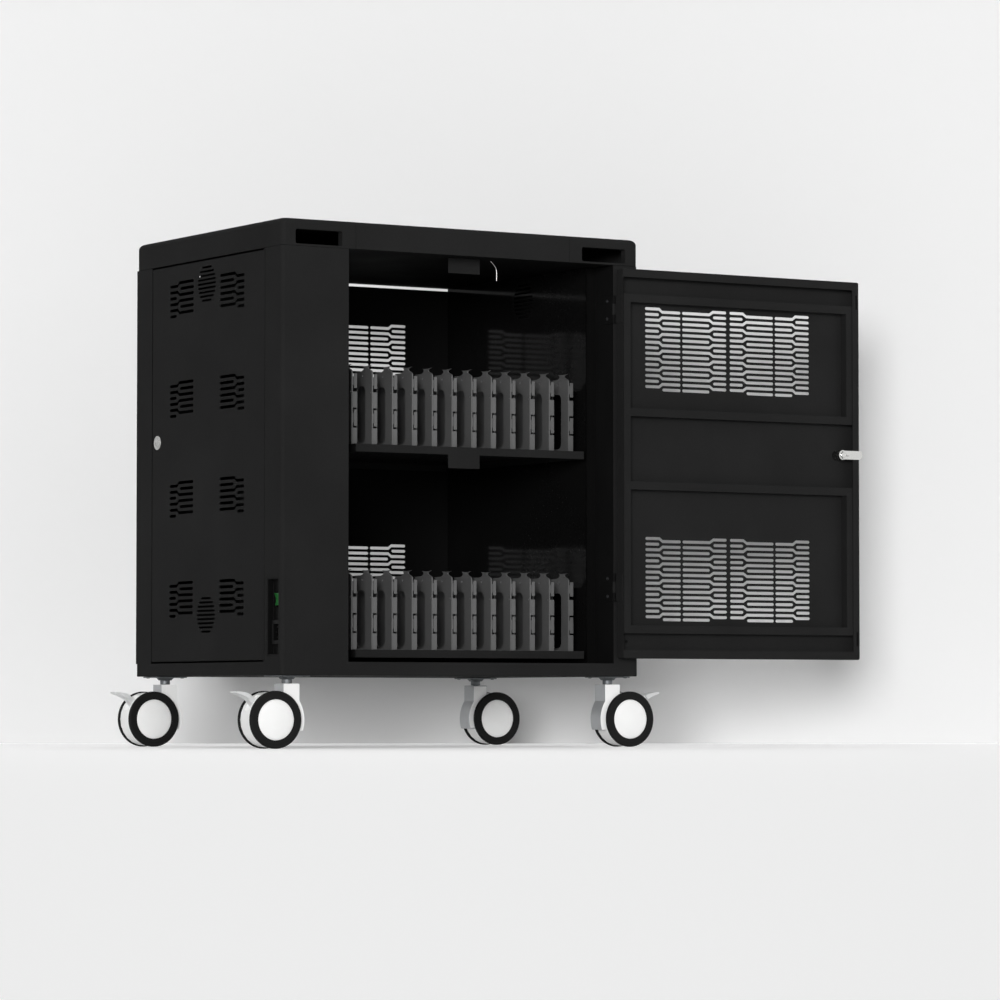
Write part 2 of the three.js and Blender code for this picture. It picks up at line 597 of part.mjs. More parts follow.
function buildFrontDoor() {
  const door = new THREE.Group();
  door.position.set(DOOR_AXIS_X, DOOR_AXIS_Y, 0);
  door.rotation.z = DOOR_OPEN;
  cart.add(door);

  const front = DOOR_SKIN_Y;
  const back = front + DOOR_DEPTH;
  const slots = [...ventSlots(DOOR_VENT_X, VENT_UPPER_Z), ...ventSlots(DOOR_VENT_X, VENT_LOWER_Z)];
  const lip = DOOR_FREE_EDGE - DOOR_PULL_LIP;
  const skin = block(lip, DOOR_HINGE_EDGE, front, front + DOOR_SHEET, DOOR_BOTTOM, DOOR_TOP)
    .subtract(frontCuts(slots, front - 1, front + DOOR_SHEET + 1))
    .subtract(bar('y', LOCK_BODY + GAP, front - 1, front + DOOR_SHEET + 1, DOOR_LOCK_X, DOOR_LOCK_Z));
  const box = block(DOOR_FREE_EDGE, DOOR_HINGE_EDGE, front, back, DOOR_BOTTOM, DOOR_TOP);
  const hollow = block(
    DOOR_FREE_EDGE + DOOR_SHEET, DOOR_HINGE_EDGE - DOOR_SHEET, front - 1, back - DOOR_SHEET,
    DOOR_BOTTOM + DOOR_SHEET, DOOR_TOP - DOOR_SHEET);
  const mouth = block(
    DOOR_FREE_EDGE + DOOR_RETURN, DOOR_HINGE_EDGE - DOOR_SHEET, back - 2 * DOOR_SHEET, back + 1,
    DOOR_BOTTOM + DOOR_RETURN, DOOR_TOP - DOOR_RETURN);
  let shell = skin.add(box.subtract(hollow).subtract(mouth));
  const lipSlotX = DOOR_FREE_EDGE + LIP_SLOT[0];
  for (const z of [DOOR_BOTTOM + LIP_SLOT_SET, DOOR_TOP - LIP_SLOT_SET]) {
    shell = shell.subtract(block(
      lipSlotX, lipSlotX + LIP_SLOT[0], back - 2 * DOOR_SHEET, back + 1,
      z - LIP_SLOT[1] / 2, z + LIP_SLOT[1] / 2));
  }
  addPart(door, 'front_door', shell, steel(BLACK_COAT));

  const foot = front + DOOR_SHEET + GAP;
  const head = foot + STIFFENER_DEPTH;
  const stiffener = stiffenerBars(foot, head, 0)
    .subtract(stiffenerBars(foot - 1, head - DOOR_SHEET, -DOOR_SHEET));
  addPart(door, 'door_stiffener', stiffener, steel(BLACK_COAT));

  const lock = new THREE.Group();
  lock.position.set(DOOR_LOCK_X, 0, DOOR_LOCK_Z);
  door.add(lock);
  const keyway = block(-1.5, 1.5, front - 4, front - 1.5, -5, 5);
  const barrel = bar('y', LOCK_FACE, front - 2.5, front - GAP, 0, 0)
    .add(bar('y', LOCK_BODY, front - 1, back + CAM_RISE, 0, 0)).subtract(keyway);
  const cam = block(-CAM_REACH, 0, back + 0.6, back + CAM_RISE, -9, 9);
  addPart(lock, 'front_lock', barrel.add(cam), bright(0xc4c6c8));

  const half = HINGE_HEIGHT / 2;
  const middle = HINGE_HEIGHT / 5;
  HINGE_Z.forEach((z, index) => {
    const tag = index === 0 ? 'lower' : 'upper';
    const mid = [z - middle + GAP, z + middle - GAP];
    const knuckle = bar('z', KNUCKLE_RADIUS, ...mid, 0, 0)
      .add(block(DOOR_HINGE_EDGE + GAP, -1.6, 0, HINGE_LEAF - 4, ...mid))
      .add(block(DOOR_HINGE_EDGE + GAP, -1.6, KNUCKLE_RADIUS + 1, HINGE_LEAF - 4, z - half, z + half))
      .subtract(bar('z', HINGE_PIN + GAP, z - half, z + half, 0, 0));
    addPart(door, `door_hinge_leaf_${tag}`, knuckle, steel(INNER_COAT));

    const x = DOOR_AXIS_X;
    const y = DOOR_AXIS_Y;
    const leafEdge = OPENING_RIGHT - GAP;
    const leaf = block(leafEdge - 1.5, leafEdge, y + KNUCKLE_RADIUS + 1, HINGE_LEAF, z - half, z + half);
    let fixed = leaf.add(bar('z', HINGE_PIN, z - half + 1, z + half - 1, x, y));
    for (const [z0, z1] of [[z - half, z - middle], [z + middle, z + half]]) {
      fixed = fixed.add(bar('z', KNUCKLE_RADIUS, z0, z1, x, y))
        .add(block(leafEdge - 1.5, leafEdge, y, HINGE_LEAF, z0, z1));
    }
    addPart(cart, `frame_hinge_leaf_${tag}`, fixed, steel(0x303030));
  });
}

function buildShelf(tag, top) {
  const shelf = new THREE.Group();
  shelf.position.set(0, 0, top);
  cart.add(shelf);
  const tray = block(SHELF_LEFT, SHELF_RIGHT, SHELF_FRONT, SHELF_REAR, -SHELF_LIP, 0).subtract(block(
    SHELF_LEFT + SHEET, SHELF_RIGHT - SHEET, SHELF_FRONT + SHEET, SHELF_REAR - SHEET,
    -SHELF_LIP - 1, -SHEET));
  const tab = block(
    TAB_LEFT, TAB_LEFT + TAB_WIDTH, SHELF_FRONT, SHELF_FRONT + SHEET,
    -SHELF_LIP - TAB_DROP, -SHELF_LIP + 1);
  const shape = tag === 'upper' ? tray.add(tab) : tray;
  addPart(shelf, `shelf_${tag}`, shape, steel(INNER_COAT));

  const left = DIVIDER_FIRST - DIVIDER_THICK;
  const right = DIVIDER_LAST + DIVIDER_THICK;
  const rear = DIVIDER_FRONT + DIVIDER_DEPTH;
  let rack = block(left, right, DIVIDER_FRONT, rear, GAP, GAP + RACK_FLOOR);
  const fin = new THREE.Shape();
  fin.moveTo(DIVIDER_FRONT, GAP);
  fin.lineTo(rear, GAP);
  fin.lineTo(rear, DIVIDER_HEIGHT * 0.55);
  fin.absarc(rear - 40, DIVIDER_HEIGHT * 0.55, 40, 0, Math.PI / 2, false);
  fin.lineTo(DIVIDER_FRONT + 70, DIVIDER_HEIGHT * 0.55 + 40);
  const shoulder = DIVIDER_HEIGHT - DIVIDER_SHOULDER;
  fin.lineTo(DIVIDER_FRONT + 58, shoulder);
  fin.lineTo(DIVIDER_FRONT + 36, shoulder + 1);
  fin.lineTo(DIVIDER_FRONT + 29, shoulder + 6);
  fin.lineTo(DIVIDER_FRONT + 34, DIVIDER_HEIGHT);
  fin.lineTo(DIVIDER_FRONT + 3, DIVIDER_HEIGHT);
  fin.lineTo(DIVIDER_FRONT + 15, shoulder + 6);
  fin.lineTo(DIVIDER_FRONT + 10, shoulder + 2);
  fin.lineTo(DIVIDER_FRONT + 2, shoulder - 1);
  fin.lineTo(DIVIDER_FRONT, shoulder - 6);
  fin.closePath();
  fin.holes.push(roundedRectangle(DIVIDER_FRONT + 24, DIVIDER_FRONT + 56, 6, DIVIDER_HEIGHT - 36, 10));
  for (let i = 0; i < DIVIDERS; i += 1) {
    const x = DIVIDER_FIRST + i * DIVIDER_PITCH;
    const flange = block(
      x - DIVIDER_THICK / 2, x + DIVIDER_FLANGE - DIVIDER_THICK / 2,
      DIVIDER_FRONT, DIVIDER_FRONT + DIVIDER_THICK, GAP, DIVIDER_HEIGHT - FLANGE_DROP);
    rack = rack.add(sideSheet(fin, x - DIVIDER_THICK / 2, x + DIVIDER_THICK / 2, 2)).add(flange);
  }
  addPart(shelf, `divider_rack_${tag}`, rack, plastic(0x5d5d5d));

  const rails = [['left', BAY_LEFT + GAP, SHELF_LEFT - GAP], ['right', SHELF_RIGHT + GAP, BAY_RIGHT - GAP]];
  for (const [side, x0, x1] of rails) {
    const middle = top - SHELF_LIP / 2;
    const low = middle - RAIL_HEIGHT / 2;
    const rail = block(x0, x1, RAIL_FRONT, RAIL_REAR, low, low + RAIL_HEIGHT).subtract(
      block(x0 + SHEET, x1 - SHEET, RAIL_FRONT - 1, RAIL_REAR + 1, low - 1, low + RAIL_HEIGHT - SHEET));
    addPart(cart, `slide_rail_${tag}_${side}`, rail, steel(INNER_COAT));
  }
}

function buildPower() {
  const box = block(0.5, INLET_DEPTH, INLET_FRONT, INLET_REAR, INLET_BOTTOM, INLET_TOP);
  const wall = 1.5;
  const recess = block(
    0, INLET_DEPTH - 4, INLET_FRONT + wall, INLET_REAR - wall, INLET_BOTTOM + wall, INLET_TOP - wall);
  const y = (INLET_FRONT + INLET_REAR) / 2;
  const switchHole = block(
    0, INLET_DEPTH + 1, y - SWITCH_WIDTH / 2, y + SWITCH_WIDTH / 2,
    SWITCH_Z - SWITCH_HEIGHT / 2, SWITCH_Z + SWITCH_HEIGHT / 2);
  const collar = block(6, INLET_DEPTH + 14, y - 15, y + 15, SOCKET_Z - 21, SOCKET_Z + 21);
  const mouth = block(5, INLET_DEPTH + 11, y - 9, y + 9, SOCKET_Z - 14, SOCKET_Z + 14);
  let inlet = box.subtract(recess).subtract(switchHole).add(collar).subtract(mouth);
  for (const [dy, dz] of [[0, -9], [0, 9], [4, 0]]) {
    inlet = inlet.add(block(
      9, INLET_DEPTH + 12, y + dy - 2, y + dy + 2, SOCKET_Z + dz - 1, SOCKET_Z + dz + 1));
  }
  addPart(cart, 'power_inlet', inlet, plastic(0x161616));

  const rocker = new THREE.Group();
  rocker.position.set(INLET_DEPTH - 2, y, SWITCH_Z);
  cart.add(rocker);
  const side = new THREE.Shape();
  side.moveTo(-5, -SWITCH_HEIGHT / 2 + 3);
  side.lineTo(-2.5, 0);
  side.lineTo(-7, SWITCH_HEIGHT / 2 - 3);
  side.lineTo(3, SWITCH_HEIGHT / 2 - 3);
  side.lineTo(3, -SWITCH_HEIGHT / 2 + 3);
  side.closePath();
  const key = frontSheet(side, -SWITCH_WIDTH / 2 + 1, SWITCH_WIDTH / 2 - 1);
  const pivot = bar('y', 1.5, -SWITCH_WIDTH / 2 + GAP, SWITCH_WIDTH / 2 - GAP, 0, 0, 12);
  addPart(rocker, 'rocker_switch', key.add(pivot), plastic(0x39c46a));

  const x1 = BAY_LEFT - SHEET - GAP;
  const x0 = x1 - STRIP_DEPTH;
  const mid = (WALL_FRONT + WALL_REAR) / 2;
  let strip = block(x0, x1, mid - STRIP_WIDTH / 2, mid + STRIP_WIDTH / 2, STRIP_BOTTOM, STRIP_TOP);
  const pitch = (STRIP_TOP - STRIP_BOTTOM) / STRIP_OUTLETS;
  for (let i = 0; i < STRIP_OUTLETS; i += 1) {
    const z = STRIP_BOTTOM + (i + 0.5) * pitch;
    strip = strip.subtract(block(x0 - 1, x0 + 9, mid - 15, mid + 15, z - 16, z + 16));
  }
  addPart(cart, 'power_strip', strip, plastic(0x202020));
}

// A profile of radius and height turned about an upright axis at x, y
function turned(points, x, y) {
  const profile = points.map(([radius, z]) => new THREE.Vector2(radius, z));
  const geometry = new THREE.LatheGeometry(profile, ROUND_SIDES);
  geometry.rotateX(Math.PI / 2);
  geometry.translate(x, y, 0);
  return solid(geometry);
}

// A profile of radius and offset turned about the caster's axle
function wheelTurned(points, offset) {
  const profile = points.map(([radius, along]) => new THREE.Vector2(radius, along));
  const geometry = new THREE.LatheGeometry(profile, WHEEL_SIDES);
  geometry.translate(CASTER_TRAIL, offset, WHEEL_RADIUS);
  return solid(geometry);
}

// A disc between the wheels, under a hood that comes down from the stem and wraps their front
function buildFork(caster, name, neckFoot, stemFoot, brake) {
  const half = WEB_THICK / 2;
  const top = neckFoot - GAP;
  const shoulder = Math.acos((CASTER_TRAIL + FORK_HALF) / HOOD_RADIUS);
  const foot = Math.asin((WHEEL_RADIUS - HOOD_FOOT_Z) / HOOD_RADIUS);
  const hood = new THREE.Shape();
  hood.moveTo(FORK_HALF, top);
  hood.lineTo(-FORK_HALF, top);
  hood.absarc(CASTER_TRAIL, WHEEL_RADIUS, HOOD_RADIUS, Math.PI - shoulder, Math.PI + foot, false);
  hood.lineTo(CASTER_TRAIL, HOOD_FOOT_Z);
  hood.lineTo(CASTER_TRAIL, WHEEL_RADIUS);
  hood.lineTo(FORK_HALF, WHEEL_RADIUS);
  hood.closePath();
  let fork = frontSheet(hood, -half, half, 12)
    .add(bar('y', WEB_RADIUS, -half, half, CASTER_TRAIL, WHEEL_RADIUS, WHEEL_SIDES))
    .subtract(bar('z', STEM_RADIUS + GAP, stemFoot - 1, top + 1, 0, 0))
    .subtract(bar('y', AXLE_RADIUS + GAP, -WEB_THICK, WEB_THICK, CASTER_TRAIL, WHEEL_RADIUS));
  if (brake) {
    const slot = LEVER_WIDTH / 2 + GAP;
    fork = fork.subtract(block(
      LEVER_PIVOT_TRAIL - 9, CASTER_TRAIL + HOOD_RADIUS, -slot, slot, LEVER_PIVOT_Z - 10, top))
      .subtract(bar('y', LEVER_PIN + GAP, -WEB_THICK, WEB_THICK, LEVER_PIVOT_TRAIL, LEVER_PIVOT_Z));
  }
  addPart(caster, `caster_fork_${name}`, fork, bright(0x9a9da0));
}

function buildWheels(caster, name) {
  const face = WHEEL_SPREAD / 2 + TYRE_WIDTH;
  const inside = WHEEL_SPREAD / 2;
  const cap = [[0, inside], [HUB_RADIUS, inside], [HUB_RADIUS, face - 3], [HUB_RADIUS - 9, face + 1],
    [0, face + 2.5]];
  const mirrored = cap.map(([radius, along]) => [radius, -along]);
  const hubs = wheelTurned(cap, 0).add(wheelTurned(mirrored, 0))
    .add(bar('y', AXLE_RADIUS, -inside - 1, inside + 1, CASTER_TRAIL, WHEEL_RADIUS));
  addPart(caster, `caster_hubs_${name}`, hubs, plastic(0xe4e4e2));

  const seat = HUB_RADIUS + GAP;
  const half = TYRE_WIDTH / 2;
  const tread = half - TYRE_ROUND;
  const tyre = [[seat, -half], [WHEEL_RADIUS - TYRE_ROUND, -half], [WHEEL_RADIUS, -tread],
    [WHEEL_RADIUS, tread], [WHEEL_RADIUS - TYRE_ROUND, half], [seat, half], [seat, -half]];
  for (const [side, sign] of [['near', -1], ['far', 1]]) {
    const ring = wheelTurned(tyre, sign * (inside + half));
    addPart(caster, `caster_tyre_${name}_${side}`, ring, plastic(0x1a1a1a));
  }
}

// A tab that leans out from between the wheels, on an arm in the slot of the fork's disc
function buildLever(caster, name) {
  const lever = new THREE.Group();
  lever.position.set(LEVER_PIVOT_TRAIL, 0, LEVER_PIVOT_Z);
  caster.add(lever);
  const reach = CASTER_TRAIL + LEVER_REACH - LEVER_PIVOT_TRAIL;
  const rise = LEVER_TIP_Z - LEVER_PIVOT_Z;
  const arm = new THREE.Shape();
  arm.moveTo(-3, -4);
  arm.lineTo(4, -4);
  arm.lineTo(LEVER_ROOT + 2, LEVER_ROOT - 4);
  arm.lineTo(LEVER_ROOT - 4, LEVER_ROOT + 2);
  arm.lineTo(-4, 3);
  arm.closePath();
  const tab = new THREE.Shape();
  tab.moveTo(LEVER_ROOT, LEVER_ROOT - 6);
  tab.quadraticCurveTo(LEVER_ROOT + 8, rise - 6, reach, rise - 2);
  tab.lineTo(reach, rise + 1);
  tab.quadraticCurveTo(LEVER_ROOT + 4, rise + 1, LEVER_ROOT - 5, LEVER_ROOT);
  tab.closePath();
  const half = LEVER_WIDTH / 2;
  const pin = half + 5;
  const shape = frontSheet(tab, -LEVER_TAB_WIDTH / 2, LEVER_TAB_WIDTH / 2, 4)
    .add(frontSheet(arm, -half, half)).add(bar('y', LEVER_PIN, -pin, pin, 0, 0));
  addPart(lever, `brake_lever_${name}`, shape, plastic(0xb8bcbe));
}

function buildCaster({ name, x, y, turn, brake }) {
  const plateTop = BASE_BOTTOM - GAP;
  const plateBottom = plateTop - PLATE_THICK;
  const collarFoot = plateBottom - COLLAR_HEIGHT;
  const neckFoot = collarFoot - NECK_LENGTH;
  const stemFoot = neckFoot - STEM_LENGTH;
  const half = PLATE_SIZE / 2;
  const outline = roundedRectangle(x - half, x + half, y - half, y + half, 6);
  const plate = upright(outline, plateBottom, plateTop, 3);
  const stem = turned([
    [0, stemFoot], [STEM_RADIUS, stemFoot], [STEM_RADIUS, neckFoot], [NECK_RADIUS, neckFoot],
    [NECK_RADIUS, collarFoot], [COLLAR_RADIUS - 5, collarFoot], [COLLAR_RADIUS, plateBottom + 1],
    [0, plateBottom + 1]], x, y);
  addPart(cart, `caster_plate_${name}`, plate.add(stem), bright(0x8f9294));

  const caster = new THREE.Group();
  caster.position.set(x, y, 0);
  caster.rotation.z = turn;
  cart.add(caster);
  buildFork(caster, name, neckFoot, stemFoot, brake);
  buildWheels(caster, name);
  if (brake) {
    buildLever(caster, name);
  }
}

buildBase();
buildCover();
buildFrame();
buildInnerWalls();
buildSideDoor();
buildFrontDoor();
for (const [tag, top] of Object.entries(SHELF_TOPS)) {
  buildShelf(tag, top);
}
buildPower();
CASTERS.forEach(buildCaster);

export default cart;
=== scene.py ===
"""Laptop charging cart, dressed over its CAD frame: steel cabinet, vents, dividers and casters."""

import math

import bmesh
import bpy
from mathutils import Matrix, Vector


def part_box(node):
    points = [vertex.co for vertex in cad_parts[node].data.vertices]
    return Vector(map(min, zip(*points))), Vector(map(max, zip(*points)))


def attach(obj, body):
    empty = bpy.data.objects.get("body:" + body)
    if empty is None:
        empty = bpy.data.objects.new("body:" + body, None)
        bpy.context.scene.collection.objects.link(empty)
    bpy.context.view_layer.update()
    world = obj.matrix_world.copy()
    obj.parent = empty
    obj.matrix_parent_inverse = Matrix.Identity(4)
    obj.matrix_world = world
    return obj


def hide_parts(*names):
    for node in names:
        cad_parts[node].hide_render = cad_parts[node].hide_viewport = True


bl_info = {
    "name": "Laptop charging cart",
    "version": (1, 0, 0),
    "blender": (4, 5, 0),
    "location": "3D View > Sidebar > Cart",
    "description": "Builds the dressed model of a laptop charging cart",
    "category": "Object",
}

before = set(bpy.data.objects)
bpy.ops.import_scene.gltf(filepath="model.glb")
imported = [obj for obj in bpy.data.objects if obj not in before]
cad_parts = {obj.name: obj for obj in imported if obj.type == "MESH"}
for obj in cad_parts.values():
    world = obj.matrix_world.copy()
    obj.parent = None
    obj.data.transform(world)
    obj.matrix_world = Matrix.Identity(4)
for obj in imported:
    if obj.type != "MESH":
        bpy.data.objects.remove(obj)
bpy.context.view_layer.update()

# The cart's own frame in millimetres: x from its left side, y from its front, z from the floor
CORNER = Vector(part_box("base_pan")[0])
TO_ROW = Matrix.Translation((CORNER.x, CORNER.y, 0)) @ Matrix.Scale(0.001, 4)
RIGHT, BACK, UP = Vector((1, 0, 0)), Vector((0, 1, 0)), Vector((0, 0, 1))
FLAT = math.radians(1)

# Cabinet, in millimetres apart from the seam's height, which is in metres
WIDTH, DEPTH, HEIGHT = 734.0, 553.0, 917.0
BASE_SEAM = 0.15015
SHEET_LOW, SHEET_HIGH = 150.3, 868.7
SIDE_MIDDLE = 278.0
INNER_WALL_X = 661.0
TAB_LEFT, TAB_RIGHT = 362.0, 427.0
COVER_BOTTOM = 869.0
COVER_EDGE = 10.0
CAP_LENGTH, CAP_DEPTH = 147.0, 59.0
CAP_GROOVE = ((-0.5, 0), (-0.3, 0.7), (0.3, 0.7), (0.5, 0))
GRIP_LENGTH, GRIP_LOW, GRIP_HIGH = 95.0, 871.5, 899.5
GRIP_LEFTS = (26.0, WIDTH - 26.0 - GRIP_LENGTH)

# Vents: the large ones are set by their seventh row, and the fan vents by their middles
VENT_SEVENTH, VENT_LEVEL_STEP, VENT_HALF_BAR = 722.0, 416.5, 3.3
SIDE_VENT_LOW, SIDE_VENT_LEVEL_STEP, SIDE_VENT_START = 267.0, 180.0, 50.0
FAN_LEVELS = (235, 824)
FAN_RADIUS, FAN_PITCH, FAN_SLOT = 35.0, 7.4, 3.8

# Doors, locks, shelves and casters
DOOR_HINGE_X = 679.5
DOOR_LOW, DOOR_HIGH = 159.0, 861.0
DOOR_FACE = -7.2
HINGE_LEVELS = (287.0, 788.4)
LIP_SLOT_SET = 38.0
FRONT_LOCK_X, FRONT_LOCK_Z = DOOR_HINGE_X + 489, 538.5
SIDE_LOCK_Y, SIDE_LOCK_Z = 466.0, 549.6
LOCK_HOLE = 9.3
SHELVES = {"lower": 172.5, "upper": 533.0}
SHELF_LEFT, SHELF_RIGHT, SHELF_FRONT, SHELF_REAR = 172.0, 648.0, 46.0, 535.0
FIRST_DIVIDER_X, DIVIDER_FRONT = 175.9, 63.0
ROCKER = (14.0, 29.5, 258.0)
CASTERS = ("front_left", "rear_left", "front_right", "rear_right")
CASTER_SET_X, CASTER_SET_Y = 37.0, 46.0
CASTER_TRAIL, AXLE_HEIGHT, TYRE_OFFSET, CORE_REACH = 34.0, 50.0, 21.25, 49.5

# The photo is lit from beside the camera, a little to the left, with a soft shadow on the wall.
# Distances are in metres, the camera and the lamp behind the cart in the cart's own frame.
VIEW = Vector((0.522, 0.853, 0))
CAMERA_SPOT = Vector((-3629.6, -6652.5, 73.8))
CAMERA_TURN = (92.677, 0, -31.463)
LENS, SENSOR = 158.58, 36
FLOOR_HALF, FLOOR_GLOW = 90, 0.395
WALL_HALF, WALL_DISTANCE = 1.9, 1.1
FILL = (0.2, 0.2, 0.2, 1)
# Each sun's name, the way towards it, its strength and its spread in degrees
SUNS = (
    ("key", (-0.618, -0.793, 0.1), 2.3, 17), ("front", (0.6, -0.8, 0.2), 0.65, 60),
    ("overhead", (0.1, 0.15, 0.98), 0.8, 50))
BACKDROP_LAMP_SPOT = Vector((598, 768, 590))
BACKDROP_LAMP_POWER, BACKDROP_LAMP_SIZE = 0.28, (0.25, 0.42)


def linear(code):
    """An sRGB hex colour as linear RGBA."""
    values = [int(code[i:i + 2], 16) / 255 for i in (1, 3, 5)]
    return [v / 12.92 if v <= 0.04045 else ((v + 0.055) / 1.055) ** 2.4 for v in values] + [1.0]


def length(label, description, metres):
    return bpy.props.FloatProperty(
        name=label, description=description, default=metres, unit="LENGTH")


def paint(label, description, code):
    return bpy.props.FloatVectorProperty(
        name=label, description=description, default=linear(code), size=4, subtype="COLOR")


class CartSizes(bpy.types.PropertyGroup):
    vent_pitch: length("Vent pitch", "Height from one vent row to the next", 0.0101)
    vent_slot: length("Vent slot", "Height of one vent slot", 0.0054)
    side_pitch: length("Side vent pitch", "Height between the rows of a small side vent", 0.0108)
    divider_step: length("Divider step", "Distance from one laptop divider to the next", 0.040864)
    dividers: bpy.props.IntProperty(
        name="Dividers", description="Number of dividers on a shelf", default=12, min=2)
    hole_step: length("Shelf hole step", "Distance between the holes of a shelf", 0.019)
    hole_size: length("Shelf hole size", "Diameter of a shelf's holes", 0.008)
    fold: length("Fold radius", "Outside radius of the folds in the sheet steel", 0.0025)


class CartColours(bpy.types.PropertyGroup):
    coat: paint("Coat", "Powder coat outside", "#252525")
    # The inner coat is the outer coat painted darker: painted shade for the inside of the cabinet.
    inner_coat: paint("Inner coat", "Powder coat inside", "#131313")
    divider: paint("Divider", "Moulded dividers", "#545454")
    hub: paint("Hub", "Hub caps of the casters", "#fbfbfa")
    fork: paint("Fork", "Caster forks", "#b4b6b8")
    rocker: paint("Rocker", "Lit rocker switch", "#1e5427")
    backdrop: paint("Backdrop", "Floor and backdrop", "#efefef")


def wire(tree, node, inputs):
    """Sets a node's inputs, by name or number, or links them to a socket, to a node's first output
    or to each node of a list."""
    for key, value in inputs.items():
        for item in value if isinstance(value, list) else [value]:
            if isinstance(item, bpy.types.Node):
                item = item.outputs[0]
            if isinstance(item, bpy.types.NodeSocket):
                tree.links.new(item, node.inputs[key])
            else:
                node.inputs[key].default_value = item


def add(tree, kind, inputs=None, **settings):
    """A node with its settings and inputs."""
    made = tree.nodes.new(kind)
    for key, value in settings.items():
        setattr(made, key, value)
    wire(tree, made, inputs or {})
    return made


def surface(name):
    """A new material, its tree and its principled shader."""
    material = bpy.data.materials.new(name)
    material.use_nodes = True
    tree = material.node_tree
    return material, tree, tree.nodes["Principled BSDF"]


def tint(colour, factor):
    return [min(1.0, channel * factor) for channel in colour[:3]] + [1.0]


def grained(name, colour, spread, cloud_mm, grain_mm, rough, bump, metallic=0.0, specular=0.5,
            transmission=0.0, stretch=None):
    """A material whose colour drifts with a cloud, and whose gloss and relief follow a grain."""
    if name in bpy.data.materials:
        return bpy.data.materials[name]
    material, tree, shader = surface(name)
    coords = add(tree, "ShaderNodeTexCoord").outputs["Object"]
    if stretch:
        coords = add(tree, "ShaderNodeMapping", {"Vector": coords, "Scale": stretch})
    cloud, grain = [
        add(tree, "ShaderNodeTexNoise", {"Vector": coords, "Scale": 1000 / size, "Detail": detail})
        for size, detail in ((cloud_mm, 4.0), (grain_mm, 2.0))]
    both = add(tree, "ShaderNodeMix", {0: 0.35, 2: cloud, 3: grain})
    ramp = add(tree, "ShaderNodeValToRGB", {0: both})
    for stop, position, factor in zip(
            ramp.color_ramp.elements, (0.35, 0.65), (1 - spread, 1 + spread)):
        stop.position = position
        stop.color = tint(colour, factor)
    gloss = add(tree, "ShaderNodeMapRange", {0: both, 1: 0.3, 2: 0.7, 3: rough[0], 4: rough[1]})
    relief = add(tree, "ShaderNodeBump", {
        "Strength": bump, "Distance": grain_mm / 4000, "Height": grain})
    wire(tree, shader, {
        "Base Color": ramp, "Roughness": gloss, "Normal": relief, "Metallic": metallic,
        "Specular IOR Level": specular, "Transmission Weight": transmission})
    return material


def colours():
    return bpy.context.scene.cart_colours


def powder_coat():
    # Black polyester powder coat, sprayed and baked: a dull black skin with an orange-peel grain.
    # The real grain is about 0.5 mm and is drawn at 2 mm so that it shows.
    return grained(
        "black_powder_coat", colours().coat, spread=0.12, cloud_mm=160, grain_mm=2.0,
        rough=(0.5, 0.64), bump=0.16, specular=0.006)


def inner_coat():
    # The same coat inside the cabinet, a little duller, and painted darker: painted shade where the
    # inside lies in shadow.
    return grained(
        "inner_powder_coat", colours().inner_coat, spread=0.14, cloud_mm=120, grain_mm=2.2,
        rough=(0.58, 0.72), bump=0.14, specular=0.02)


def smooth_coat():
    # Smooth black stove enamel on the right inner wall: near black, with faint mirror images.
    return grained(
        "black_stove_enamel", linear("#101010"), spread=0.1, cloud_mm=150, grain_mm=3.0,
        rough=(0.07, 0.1), bump=0.0, specular=0.045)


def zinc():
    # Zinc-plated rolled steel, dulled: mid grey with a faint spangle about 6 mm across, drawn out
    # along the rolling lines.
    return grained(
        "zinc_plated_steel", linear("#75787a"), spread=0.1, cloud_mm=6, grain_mm=0.8,
        rough=(0.5, 0.62), bump=0.05, metallic=1.0, stretch=(1, 0.15, 1))


def nickel():
    # Nickel-plated die-cast zinc, polished: bright and slightly warm, with a haze from handling.
    return grained(
        "nickel_plate", linear("#acacaa"), spread=0.04, cloud_mm=14, grain_mm=0.9,
        rough=(0.18, 0.3), bump=0.03, metallic=1.0)


def fork_paint():
    # Silver stove enamel on a die-cast fork: light grey with a fine metal flake. The flake is about
    # 0.4 mm and is drawn at 1.2 mm.
    return grained(
        "silver_stove_enamel", colours().fork, spread=0.06, cloud_mm=40, grain_mm=1.2,
        rough=(0.34, 0.46), bump=0.06, metallic=0.25)


def divider_plastic():
    # Moulded grey ABS with a spark-eroded texture: even grey with a soft sheen. The grain is about
    # 0.3 mm and is drawn at 1.2 mm.
    return grained(
        "moulded_grey_abs", colours().divider, spread=0.08, cloud_mm=70, grain_mm=1.2,
        rough=(0.42, 0.54), bump=0.1)


def black_plastic():
    # Moulded black ABS of the inlet and outlet strip: deep black with a fine matt grain.
    return grained(
        "moulded_black_abs", linear("#0c0c0c"), spread=0.12, cloud_mm=30, grain_mm=0.9,
        rough=(0.45, 0.58), bump=0.1, specular=0.08)


def hub_nylon():
    # Moulded white nylon of the hub caps and wheel cores: near white and satin, with faint flow
    # clouds about 25 mm across.
    return grained(
        "white_nylon", colours().hub, spread=0.02, cloud_mm=25, grain_mm=1.5, rough=(0.3, 0.42),
        bump=0.03)


def lever_nylon():
    # Natural nylon lever: milky pale grey that lets a little light through.
    return grained(
        "natural_nylon", linear("#f6f7f7"), spread=0.04, cloud_mm=18, grain_mm=1.4,
        rough=(0.35, 0.48), bump=0.04, transmission=0.4)


def tyre_rubber():
    # Thermoplastic rubber tread: dull black, a little paler where dust sits, with a fine skin.
    return grained(
        "black_rubber_tread", linear("#181818"), spread=0.18, cloud_mm=35, grain_mm=1.6,
        rough=(0.6, 0.78), bump=0.18, specular=0.1)


def screw_steel():
    # Black-oxide steel screws: near black with a dull blue-grey shine on the heads.
    return grained(
        "black_oxide_steel", linear("#1d1e20"), spread=0.15, cloud_mm=3, grain_mm=0.5,
        rough=(0.45, 0.6), bump=0.05, metallic=0.3)


